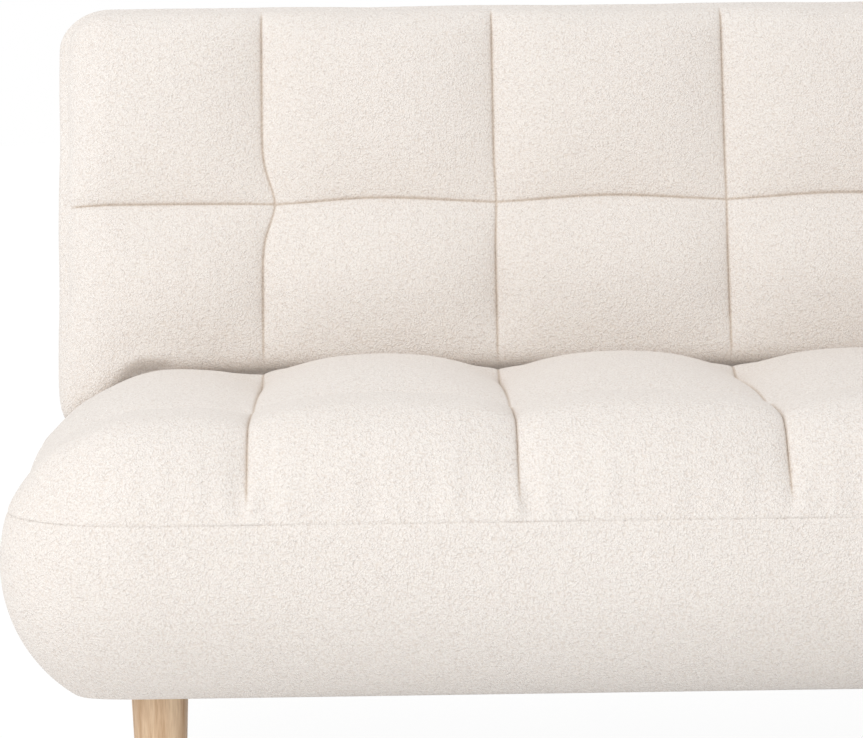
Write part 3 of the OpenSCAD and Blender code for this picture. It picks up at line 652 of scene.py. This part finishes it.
def timber(name, light, dark, scale, along, roughness=0.6):
    """Wood with its grain along one axis, with growth bands, pores and a slight relief."""
    f = Finish(name, roughness, Specular_IOR_Level=0.35)
    squeeze = [scale] * 3
    squeeze["xyz".index(along)] = scale * 0.06
    where = f.stretched(*squeeze)
    bands = f.noise(1.0, 4.0, where, distortion=0.9)
    fine = f.noise(9.0, 3.0, where)
    grain = f.math("ADD", f.math("MULTIPLY", bands, 0.7), f.math("MULTIPLY", fine, 0.3))
    f.colour(f.ramp(grain, (0.36, dark), (0.64, light)))
    f.roughness(f.math("ADD", f.math("MULTIPLY", fine, 0.2), roughness - 0.1))
    f.bump(fine, 0.0004)
    return f.material


def foam():
    """Yellow foam with small open cells."""
    f = Finish("foam", 0.95, Specular_IOR_Level=0.2)
    cells = f.add("ShaderNodeTexVoronoi", Vector=f.place, Scale=420.0).outputs["Distance"]
    f.colour(f.ramp(cells, (0.1, (0.86, 0.74, 0.40)), (0.7, (0.66, 0.52, 0.24))))
    f.bump(cells, 0.0012)
    return f.material


def coated_steel(name, colour, edge, roughness):
    """Powder-coated steel: a fine orange peel, with dust and rubbed places."""
    f = Finish(name, roughness, Metallic=0.35, Specular_IOR_Level=0.5)
    peel = f.noise(900.0, 2.0)
    rubbed = f.noise(38.0, 5.0)
    f.colour(f.ramp(rubbed, (0.42, colour), (0.72, edge)))
    f.roughness(f.math("ADD", f.math("MULTIPLY", rubbed, 0.25), roughness - 0.1))
    f.bump(peel, 0.0003)
    return f.material


def bright_steel():
    """Zinc-plated steel with a faint spangle."""
    f = Finish("zinc_steel", 0.35, Metallic=1.0)
    spangle = f.noise(160.0, 4.0)
    f.colour(f.ramp(spangle, (0.3, (0.42, 0.43, 0.45)), (0.7, (0.62, 0.62, 0.62))))
    f.roughness(f.math("ADD", f.math("MULTIPLY", spangle, 0.2), 0.25))
    f.bump(spangle, 0.0002)
    return f.material


def moulded_plastic():
    """Black plastic with a fine grain and scuffs."""
    f = Finish("black_plastic", 0.5, Specular_IOR_Level=0.45)
    grain = f.noise(1400.0, 2.0)
    scuffs = f.noise(60.0, 5.0)
    f.colour(f.ramp(scuffs, (0.4, (0.022, 0.022, 0.023)), (0.75, (0.05, 0.05, 0.052))))
    f.bump(grain, 0.0002)
    return f.material


def dust_cloth():
    """Black non-woven cloth with its pattern of pressed dots."""
    f = Finish("dust_cloth", 0.9, Specular_IOR_Level=0.2)
    dots = f.add("ShaderNodeTexVoronoi", Vector=f.place, Scale=480.0, Randomness=0.15)
    fibres = f.noise(230.0, 6.0, distortion=2.0)
    f.colour(f.ramp(fibres, (0.35, (0.012, 0.012, 0.013)), (0.7, (0.045, 0.045, 0.048))))
    f.bump(dots.outputs["Distance"], 0.0004)
    return f.material


def webbing():
    """Elastic webbing: ribs along the strap and a weave across it."""
    f = Finish("webbing", 0.85, Specular_IOR_Level=0.2)
    ribs = f.add("ShaderNodeTexWave", {"wave_type": "BANDS", "bands_direction": "Z"},
                 Vector=f.place, Scale=60.0, Distortion=0.4).outputs["Fac"]
    weave = f.add("ShaderNodeTexWave", {"wave_type": "BANDS", "bands_direction": "X"},
                  Vector=f.place, Scale=130.0, Distortion=0.6).outputs["Fac"]
    cloth = f.math("MULTIPLY", ribs, weave)
    f.colour(f.ramp(cloth, (0.1, (0.03, 0.03, 0.03)), (0.9, (0.11, 0.105, 0.10))))
    f.bump(cloth, 0.0006)
    return f.material


BOUCLE = boucle()
# the legs' wood tones are painted lighter than the wood's own colour: painted light, for the light they
# lack in the shade under the seat
LEG_WOOD_PAINTED_LIGHT = timber("light_wood", (0.96, 0.72, 0.49), (0.62, 0.38, 0.21), 90.0, "z", 0.45)
PINE_TONES = (0.66, 0.44, 0.24), (0.50, 0.30, 0.14)
PINE_X = timber("pine_lengthways", *PINE_TONES, 32.0, "x")
PINE_Y = timber("pine_crossways", *PINE_TONES, 32.0, "y")
PINE_Z = timber("pine_upright", *PINE_TONES, 32.0, "z")
BIRCH = timber("birch_slats", (0.76, 0.58, 0.36), (0.64, 0.45, 0.25), 40.0, "y", 0.4)
FOAM = foam()
GREY_STEEL = coated_steel("grey_steel", (0.055, 0.057, 0.062), (0.10, 0.10, 0.105), 0.45)
BLACK_STEEL = coated_steel("black_steel", (0.012, 0.012, 0.013), (0.05, 0.05, 0.05), 0.4)
ZINC = bright_steel()
PLASTIC = moulded_plastic()
DUST_CLOTH = dust_cloth()
WEBBING = webbing()

NODE_FINISHES = [
    (BOUCLE, ["rear_beam", "rear_panel"]),
    (FOAM, ["seat_foam", "back_foam"]),
    (BIRCH, ["seat_slats"]),
    (PLASTIC, ["slat_holders", "leg_glides"]),
    (PINE_X, ["front_rail", "rear_rail", "back_top_rail", "back_bottom_rail"]),
    (PINE_Y, ["left_side_rail", "right_side_rail", "centre_rail", "corner_blocks"]),
    (PINE_Z, ["left_stile", "right_stile", "mid_stiles"]),
    (DUST_CLOTH, ["dust_cover"]),
    (LEG_WOOD_PAINTED_LIGHT, ["front_left_leg", "front_right_leg", "rear_left_leg", "rear_right_leg", "centre_leg"]),
    (GREY_STEEL, ["leg_plates", "left_hinge_plate", "right_hinge_plate", "left_back_arm",
                  "right_back_arm"]),
    (ZINC, ["leg_plate_screws", "hanger_bolts", "left_pivot_pin", "right_pivot_pin", "left_pawl_pin",
            "right_pawl_pin", "left_pawl_spring", "right_pawl_spring", "hinge_plate_bolts",
            "ratchet_rivets", "back_arm_bolts"]),
    (BLACK_STEEL, ["left_ratchet", "right_ratchet", "left_pawl", "right_pawl"]),
    (WEBBING, ["back_webbing"]),
]
for finish, names in NODE_FINISHES:
    for name in names:
        for slot in frame["nodes"][name].material_slots:
            slot.material = finish


# --- Seat ---

def curve_rows(start, drop_r, angle, steps):
    """Rows that round in under a widest line at the height start."""
    return [(drop_r * (1 - math.cos(angle * k / steps)), start - drop_r * math.sin(angle * k / steps))
            for k in range(1, steps + 1)]


def seat_skin():
    """The seat's skin, and the elevation of its border seam."""
    under = curve_rows(BULGE_Z, UNDER_R, UNDER_ANGLE, 12)
    in_end = under[-1][0]
    under += [(in_end + RIM * 0.5, SEAT_LOW.z), (in_end + RIM, SEAT_LOW.z), (in_end + RIM, SEAT_FLOOR_Z)]
    crease_z = SEAT_TOP - CREASE_DROP
    straight = [(0.0, crease_z + (SEAT_LOW.z - crease_z) * k / 12) for k in range(1, 13)]
    straight += [(REAR_RIM[0], SEAT_LOW.z), (REAR_RIM[1], SEAT_LOW.z), (REAR_RIM[1], SEAT_FLOOR_Z)]
    rise = SEAT_TOP - BULGE_Z
    border = math.asin((BORDER_Z - BULGE_Z) / rise)
    upper = [(share, border) for share in (0.82, 0.64, 0.47, 0.33, 0.21, 0.12, 0.055, 0.016)]
    upper += [(0.0, border * share) for share in (1.0, 0.945, 0.83, 0.64, 0.42, 0.2, 0.0)]
    return Skin(
        SEAT_HALF, (0.0, SEAT_DEPTH), SEAT_TOP,
        {"round": END_ROUND, "rise": rise, "rows": under, "squareness": BOTTOM_SQUARENESS},
        {"round": NOSE_ROUND, "rise": rise, "rows": under, "corner": 2.0},
        {"round": CREASE_ROUND, "rise": CREASE_DROP, "rows": straight, "corner": 2.0},
        SEAT_CROSS, (10, 8, 6), upper), border


def let_down_crown(skin):
    """Lets the crown down at the end columns, and from the cross seam back to the crease, and fills out
    the shoulders of the ends. Returns how far back each point lies between seam and crease."""
    x, y, z = skin.points.T
    high = np.clip((z - BORDER_Z) / (SEAT_TOP - BORDER_Z), 0, 1)
    outward = abs(x) - OUTER_SEAM
    beside, further, run = DROOP_RUNS
    at_end = (smooth(outward / beside + 0.5) + smooth((outward - further) / run)) / 2
    rearward = np.clip((y - SEAT_CROSS) / (SEAT_DEPTH - CREASE_ROUND - SEAT_CROSS), 0, 1)
    at_end *= 1 - TIP_LESS * smooth((abs(x) - TIP_FROM) / TIP_RUN)
    shoulder = SHOULDER * np.exp(-((z - SHOULDER_Z) / SHOULDER_REACH) ** 2)
    shoulder *= (smooth((y + SEAT_FRONT - SHOULDER_FROM) / SHOULDER_RISE)
                 * smooth((SHOULDER_TO - SEAT_FRONT - y) / SHOULDER_FALL))
    skin.points[:, 0] += np.sign(x) * shoulder * smooth((abs(x) - SHOULDER_X) / SHOULDER_X_RUN)
    skin.points[:, 2] = z - (END_DROOP * at_end + REAR_FALL * rearward) * high
    return rearward


def fuller(skin, side, power):
    """How much a roll at the crease rises when its round section gets squarer, by this power."""
    inward = np.clip(np.cos(skin.angle), 0, 1)
    rise = CREASE_DROP * ((1 - inward ** power) ** (1 / power) - np.sin(skin.angle))
    return np.where(side & (skin.angle >= 0), rise, 0) * (1 - skin.end_share)


def puckers(skin, front, above):
    """Depth of the small puckers above the border seam, which run up and down."""
    rise = skin.points[:, 2] - BORDER_Z
    lift = np.exp(-rise / PUCKER_REACH) * smooth(rise / PUCKER_RISE) * above
    round_x = skin.points[:, 0] + np.where(front, 0, skin.points[:, 1])
    return (PUCKER * lift * (1 - PUCKER_LESS * skin.end_share)
            * ripple(round_x, PUCKER_LENGTH, PUCKER_SEED))


def make_seat():
    skin, border = seat_skin()
    skin.points[:, 2] += fuller(skin, skin.side_b > 0, REAR_POWER)
    rearward = let_down_crown(skin)
    front, rear = skin.side_b < 0, skin.side_b > 0
    over_border = skin.angle - border
    fade = np.where(front, smooth(over_border / NOSE_FADE),
                    np.where(rear, smooth(skin.angle / CREASE_FADE), 1.0))
    fade *= skin.off_ends()
    up_end = smooth((skin.angle - END_FADE[0]) / END_FADE[1])
    cross_fade = np.where(skin.end_share > 0.5, up_end, 1.0) * (skin.angle > 0)
    along = skin.column_share() * fade
    cross = skin.cross_share() * cross_fade
    at_border = abs(over_border) < SAME_LINE
    above = over_border > 0
    depth = seam_depth(along, cross) + CREASE_PULL * along * rearward ** 2
    depth += BORDER_DIP * (at_border & ~rear)
    depth += puckers(skin, front, above & ~rear)
    room = np.where(rear, smooth(skin.angle), smooth(over_border / BORDER_RUN))
    depth += SLACK * (1 - np.maximum(along, cross)) * above * room
    skin.points -= skin.normals * depth[:, None]
    press_hinge_pockets(skin)

    def place(p):
        return np.stack([p[:, 0], p[:, 1] + SEAT_FRONT, p[:, 2]], 1)

    seat, used = mesh_object("seat", skin.points, skin.faces, place)
    hold = np.maximum(skin.seam_hold(fade, cross_fade), at_border & ~rear)
    pins = skin.pins(hold, skin.angle <= border, SEAT_BORDER_PIN, SEAT_FREE_ROWS, rear)
    inflate(seat, pins[used], SEAT_PRESSURE)
    sharpen(seat, hold[used], np.where(at_border, BORDER_SHADE, hold)[used])
    subdivide(seat)
    seat.data.materials.append(BOUCLE)
    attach(seat, "base")
    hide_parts("seat_cover")


def press_hinge_pockets(skin):
    """Presses the rear of the seat clear of the ratchet wheels, and of the pawls where they swing."""
    low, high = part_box("right_ratchet")
    pin = sum(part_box("right_pawl_pin"), Vector()) / 2
    near = (abs(abs(skin.points[:, 0]) - (low.x + high.x) / 2) < POCKET_HALF) & (skin.side_b > 0)
    wheel_radius = (high.z - low.z) / 2 + WHEEL_POCKET_ROOM
    pawl_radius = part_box("right_pawl")[1].z - pin.z + PAWL_ROOM
    up = skin.points[:, 2] - AXIS.z
    wheel = AXIS.y - np.sqrt(np.maximum(wheel_radius ** 2 - up ** 2, 0))
    hit = near & (abs(up) < wheel_radius)
    skin.points[hit, 1] = np.minimum(skin.points[hit, 1], wheel[hit] - SEAT_FRONT)
    up = skin.points[:, 2] - pin.z
    reach = np.minimum(np.sqrt(np.maximum(pawl_radius ** 2 - up ** 2, 0)), up * PAWL_SLOPE + PAWL_HALF)
    hit = near & (reach > 0) & (abs(up) < pawl_radius)
    skin.points[hit, 1] = np.minimum(skin.points[hit, 1], pin.y - reach[hit] - SEAT_FRONT)


# --- Back ---

def back_skin():
    def side(rows_from, rear_r, panel_in):
        """Rows from the widest line down the side, round its rear edge and in under the rear panel."""
        rows = [(0.0, rows_from + (BACK_REAR + rear_r - rows_from) * k / 6) for k in range(1, 7)]
        rows += curve_rows(BACK_REAR + rear_r, rear_r, math.radians(90), 5)
        last = rows[-1][0]
        flat_end = panel_in - PANEL_SEAM
        rows += [(last + (flat_end - last) * k / 4, BACK_REAR) for k in range(1, 5)]
        return rows + [(panel_in + inset, BACK_REAR + rise) for inset, rise in PANEL_TUCK]

    return Skin(
        BACK_HALF, (BACK_LOW_U, BACK_LEN), BACK_FACE,
        {"round": BACK_END_ROUND, "rise": BACK_END_RISE, "squareness": 0.0,
         "rows": side(BACK_FACE - BACK_END_RISE, REAR_ROUND, BACK_HALF - PANEL_HALF)},
        {"round": CREASE_ROUND, "rise": CREASE_DROP, "corner": CREASE_CORNER,
         "rows": side(0.0, LOW_REAR_ROUND, PANEL_LOW_U - BACK_LOW_U)},
        {"round": BACK_TOP_ROUND, "rise": BACK_TOP_ROUND, "corner": 2.0,
         "rows": side(BACK_FACE - BACK_TOP_ROUND, REAR_ROUND, BACK_LEN - PANEL_HIGH_U)},
        BACK_CROSS, (5, 6, 5), [(k / 5, 0.0) for k in range(4, -1, -1)])


def pull_seams(skin):
    """Draws the seams a little off their lines, as tufting does: sideways at the crossings, and the
    cross seam up between them."""
    x, u = skin.points[:, 0].copy(), skin.points[:, 1].copy()
    near = np.exp(-((u - BACK_CROSS) / SIDE_REACH) ** 2)
    for seam, pull in zip(SEAM_XS, SIDE_PULLS):
        skin.points[:, 0] += pull * near * np.cos(np.clip((x - seam) / COLUMN, -0.5, 0.5) * math.pi) ** 2
    arch = np.sin((x - SEAM_XS[0]) / COLUMN * math.pi) ** 2 * (abs(x) < OUTER_SEAM)
    skin.points[:, 1] += CROSS_ARCH * arch * np.exp(-((u - BACK_CROSS) / ARCH_REACH) ** 2)


def fill_crease(skin):
    """Fills out the low edge of the back, where it leans on the seat, and more so towards the ends,
    where the seat's crown falls away."""
    middle, end = CREASE_POWERS
    outward = smooth((abs(skin.points[:, 0]) - CREASE_END_FROM) / CREASE_END_RUN)
    skin.points[:, 2] += fuller(skin, skin.side_b < 0, middle + (end - middle) * outward)


def hang_ends(skin):
    """Lets the ends of the back hang down beside the seat's rear corners. The front hangs from nearer
    the middle, where nothing is in its way when the back folds."""
    x, u = abs(skin.points[:, 0]), skin.points[:, 1]
    low = np.clip(1 - (u - BACK_LOW_U) / CREASE_ROUND, 0, 1)
    front = smooth(skin.points[:, 2] / (BACK_FACE - FRONT_DEEP))
    start = HANG_FROM - HANG_EARLIER * front
    hang = END_HANG * smooth((x - start) / (HANG_FULL - start))
    hang += END_SINK * front * smooth((x - OUTER_SEAM) / SINK_RUN)
    skin.points[:, 1] -= low * (hang + HANG_CORNER * smooth((x - HANG_FULL) / CORNER_RUN))


def cover_wheels(skin):
    """Carries the back's fabric round the ratchet wheels, which would show in the crease."""
    low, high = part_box("right_ratchet")
    radius = (high.z - low.z) / 2 + WHEEL_ROOM
    beside = abs(abs(skin.points[:, 0]) - (low.x + high.x) / 2)
    near = smooth((WRAP_HALF - beside) / WRAP_RUN) * (skin.side_b < 0)
    near[(skin.angle < 0) | (skin.angle > WRAP_FROM)] = 0
    turn = WRAP_START + (WRAP_END - WRAP_START) * (1 - skin.angle / WRAP_FROM)
    for axis, place in ((1, radius * np.cos(turn)), (2, radius * np.sin(turn))):
        skin.points[:, axis] += near * (place - skin.points[:, axis])


def make_back():
    skin = back_skin()
    fill_crease(skin)
    low = skin.side_b < 0
    fade = smooth(skin.angle / np.where(low, CREASE_FADE, TOP_FADE))
    fade[skin.side_b == 0] = 1
    fade *= skin.off_ends()
    cross_fade = np.where(skin.end_share > 0.5, smooth(skin.angle / CREASE_FADE), 1.0)
    cross_fade *= skin.angle > 0
    along = skin.column_share() * fade
    cross = skin.cross_share() * cross_fade
    loose = (skin.angle > 0) * np.where(low, smooth(skin.angle), 1.0)
    depth = seam_depth(along, cross) + SLACK * (1 - np.maximum(along, cross)) * loose
    depth += BACK_END_SLACK * skin.end_share * np.cos(np.clip(skin.angle, 0, math.pi / 2)) * loose
    skin.points -= skin.normals * depth[:, None]
    pull_seams(skin)
    hang_ends(skin)
    cover_wheels(skin)

    up = np.array(Vector((0, math.sin(LEAN), math.cos(LEAN))))
    out = np.array(Vector((0, -math.cos(LEAN), math.sin(LEAN))))

    def place(p):
        return np.array(AXIS) + p[:, :1] * [1, 0, 0] + p[:, 1:2] * up + p[:, 2:] * out

    back, used = mesh_object("back", skin.points, skin.faces, place)
    hold = skin.seam_hold(fade, cross_fade)
    pins = skin.pins(hold, skin.angle < 0, BACK_WALL_PIN, BACK_FREE_ROWS, low)
    inflate(back, pins[used], BACK_PRESSURE)
    sharpen(back, hold[used], hold[used])
    subdivide(back)
    back.data.materials.append(BOUCLE)
    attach(back, "back")
    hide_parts("back_cover")


make_seat()
make_back()


# --- Staples that hold the dust cloth ---

class Tree(Nodes):
    """Geometry tree under construction, with named inputs for its sizes."""

    def __init__(self, name, **inputs):
        self.tree = bpy.data.node_groups.new(name, "GeometryNodeTree")
        self.ids, self.values = {}, inputs
        self.tree.interface.new_socket("Geometry", in_out="INPUT", socket_type="NodeSocketGeometry")
        for key, value in inputs.items():
            kind = {float: "NodeSocketFloat", int: "NodeSocketInt"}.get(type(value), "NodeSocketMaterial")
            self.ids[key] = self.tree.interface.new_socket(key, in_out="INPUT", socket_type=kind).identifier
        self.tree.interface.new_socket("Geometry", in_out="OUTPUT", socket_type="NodeSocketGeometry")
        self.given = self.tree.nodes.new("NodeGroupInput")

    def input(self, name):
        return self.given.outputs[name]

    def vector(self, x, y, z):
        return self.add("ShaderNodeCombineXYZ", X=x, Y=y, Z=z).outputs[0]

    def finish(self, geometry, material):
        """Ends the tree in plain geometry with one material."""
        real = self.add("GeometryNodeRealizeInstances", Geometry=geometry).outputs[0]
        done = self.add("GeometryNodeSetMaterial", Geometry=real, Material=material).outputs[0]
        self.tree.links.new(done, self.tree.nodes.new("NodeGroupOutput").inputs[0])

    def mesh_on(self, name, path):
        """Plain mesh object of the tree's result on a path of points, with no modifier left."""
        mesh = bpy.data.meshes.new(name)
        mesh.from_pydata(path, [(i, (i + 1) % len(path)) for i in range(len(path))], [])
        obj = bpy.data.objects.new(name, mesh)
        bpy.context.scene.collection.objects.link(obj)
        modifier = obj.modifiers.new(name, "NODES")
        modifier.node_group = self.tree
        for key, value in self.values.items():
            modifier[self.ids[key]] = value
        graph = bpy.context.evaluated_depsgraph_get()
        plain = bpy.data.meshes.new_from_object(obj.evaluated_get(graph), depsgraph=graph)
        obj.modifiers.remove(modifier)
        obj.data = plain
        return obj


def staple_tree():
    """Wire staples set along a path, each with its crown on the cloth and its legs driven up into the
    rail, and a little askew as a hand leaves them."""
    t = Tree("staple_row", Spacing=STAPLE_SPACING, Crown=0.0105, Wire=0.00055, Leg=0.004,
             Askew=math.radians(7), Seed=5, Finish=ZINC)
    half = t.math("MULTIPLY", t.input("Crown"), 0.5)
    other = t.math("MULTIPLY", t.input("Crown"), -0.5)
    lines = t.add("GeometryNodeJoinGeometry")
    for start, end in (((other, 0.0, 0.0), (half, 0.0, 0.0)),
                       ((other, 0.0, 0.0), (other, 0.0, t.input("Leg"))),
                       ((half, 0.0, 0.0), (half, 0.0, t.input("Leg")))):
        line = t.add("GeometryNodeCurvePrimitiveLine", Start=t.vector(*start), End=t.vector(*end))
        t.tree.links.new(line.outputs[0], lines.inputs[0])
    ring = t.add("GeometryNodeCurvePrimitiveCircle", Resolution=6, Radius=t.input("Wire"))
    wire = t.add("GeometryNodeCurveToMesh", Curve=lines.outputs[0], Profile_Curve=ring.outputs[0])
    wire.inputs["Fill Caps"].default_value = True
    path = t.add("GeometryNodeMeshToCurve", Mesh=t.input("Geometry"))
    places = t.add("GeometryNodeCurveToPoints", {"mode": "LENGTH"}, Curve=path.outputs[0],
                   Length=t.input("Spacing"))
    along = t.add("FunctionNodeAlignRotationToVector", {"axis": "X", "pivot_axis": "Z"},
                  Vector=places.outputs["Tangent"])
    turn = t.add("FunctionNodeRandomValue", {"data_type": "FLOAT"}, Seed=t.input("Seed"))
    turn.inputs[2].default_value = -1.0
    turn.inputs[3].default_value = 1.0
    askew = t.math("MULTIPLY", turn.outputs[1], t.input("Askew"))
    rotation = t.add("FunctionNodeRotateRotation", {"rotation_space": "LOCAL"}, Rotation=along.outputs[0],
                     Rotate_By=t.vector(0.0, 0.0, askew))
    staples = t.add("GeometryNodeInstanceOnPoints", Points=places.outputs["Points"],
                    Instance=wire.outputs[0], Rotation=rotation.outputs[0])
    t.finish(staples.outputs[0], t.input("Finish"))
    return t


def make_staples():
    low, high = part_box("dust_cover")
    x, z = high.x - STAPLE_EDGE, low.z - STAPLE_PROUD
    front, rear = low.y + STAPLE_EDGE, high.y - STAPLE_EDGE
    staples = staple_tree().mesh_on("dust_cloth_staples", [
        (-x, front, z), (x, front, z), (x, rear, z), (-x, rear, z)])
    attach(staples, "base")


make_staples()


# --- Studio ---

FLOOR_HALF = 9.0
FLOOR_SEEN = 0.955  # brightness of the floor to the camera
FLOOR_BOUNCE = 0.92  # its colour to the light
FLOOR_VEIL = 0.08  # how much of the shadow the camera sees
WORLD_LIGHT = 0.8


def seen_directly(nodes):
    """1 for the rays that see a background as such: from the camera, off a gloss and through glass."""
    path = nodes.add("ShaderNodeLightPath")
    seen = nodes.math("MAXIMUM", path.outputs["Is Camera Ray"], path.outputs["Is Glossy Ray"])
    return nodes.math("MAXIMUM", seen, path.outputs["Is Transmission Ray"])


def choose_shader(nodes, factor, plain, seen):
    """Mixes two shaders by the factor."""
    choose = nodes.add("ShaderNodeMixShader", Fac=factor)
    nodes.feed(choose.inputs[1], plain.outputs[0])
    nodes.feed(choose.inputs[2], seen.outputs[0])
    return choose.outputs[0]


def grey(value):
    return (value, value, value, 1)


def backdrop():
    """White where the camera or a gloss sees it, and plain to the light otherwise."""
    material = bpy.data.materials.new("studio_floor")
    material.use_nodes = True
    n = Nodes(material.node_tree)
    glow = n.add("ShaderNodeEmission", Strength=FLOOR_SEEN)
    veil = n.add("ShaderNodeBsdfDiffuse", Color=grey(FLOOR_VEIL))
    both = n.add("ShaderNodeAddShader")
    n.feed(both.inputs[0], glow.outputs[0])
    n.feed(both.inputs[1], veil.outputs[0])
    plain = n.add("ShaderNodeBsdfDiffuse", Color=grey(FLOOR_BOUNCE))
    n.add("ShaderNodeOutputMaterial", Surface=choose_shader(n, seen_directly(n), plain, both))
    return material


def add_floor():
    mesh = bpy.data.meshes.new("floor")
    a = FLOOR_HALF
    mesh.from_pydata([(-a, -a, 0), (a, -a, 0), (a, a, 0), (-a, a, 0)], [], [(0, 1, 2, 3)])
    floor = bpy.data.objects.new("floor", mesh)
    bpy.context.scene.collection.objects.link(floor)
    mesh.materials.append(backdrop())


def add_world():
    world = bpy.data.worlds.new("studio")
    world.use_nodes = True
    n = Nodes(world.node_tree)
    light = n.add("ShaderNodeBackground", Color=grey(1), Strength=WORLD_LIGHT)
    white = n.add("ShaderNodeBackground", Color=grey(1), Strength=1.0)
    n.add("ShaderNodeOutputWorld", Surface=choose_shader(n, seen_directly(n), light, white))
    bpy.context.scene.world = world


def add_lamp(name, place, target, size, power):
    data = bpy.data.lights.new(name, "AREA")
    data.shape = "RECTANGLE"
    data.size, data.size_y = size
    data.energy = power
    lamp = bpy.data.objects.new(name, data)
    bpy.context.scene.collection.objects.link(lamp)
    lamp.location = place
    lamp.rotation_euler = (Vector(target) - Vector(place)).to_track_quat("-Z", "Y").to_euler()


add_floor()
add_world()
add_lamp("key", place=(-2.9, -2.0, 3.3), target=(-0.2, 0, 0.4), size=(1.6, 1.6), power=53)
add_lamp("low", place=(-0.9, -2.2, 0.12), target=(-0.5, -0.1, 0.22), size=(1.8, 0.2), power=4)
bpy.context.scene.view_settings.view_transform = "Standard"
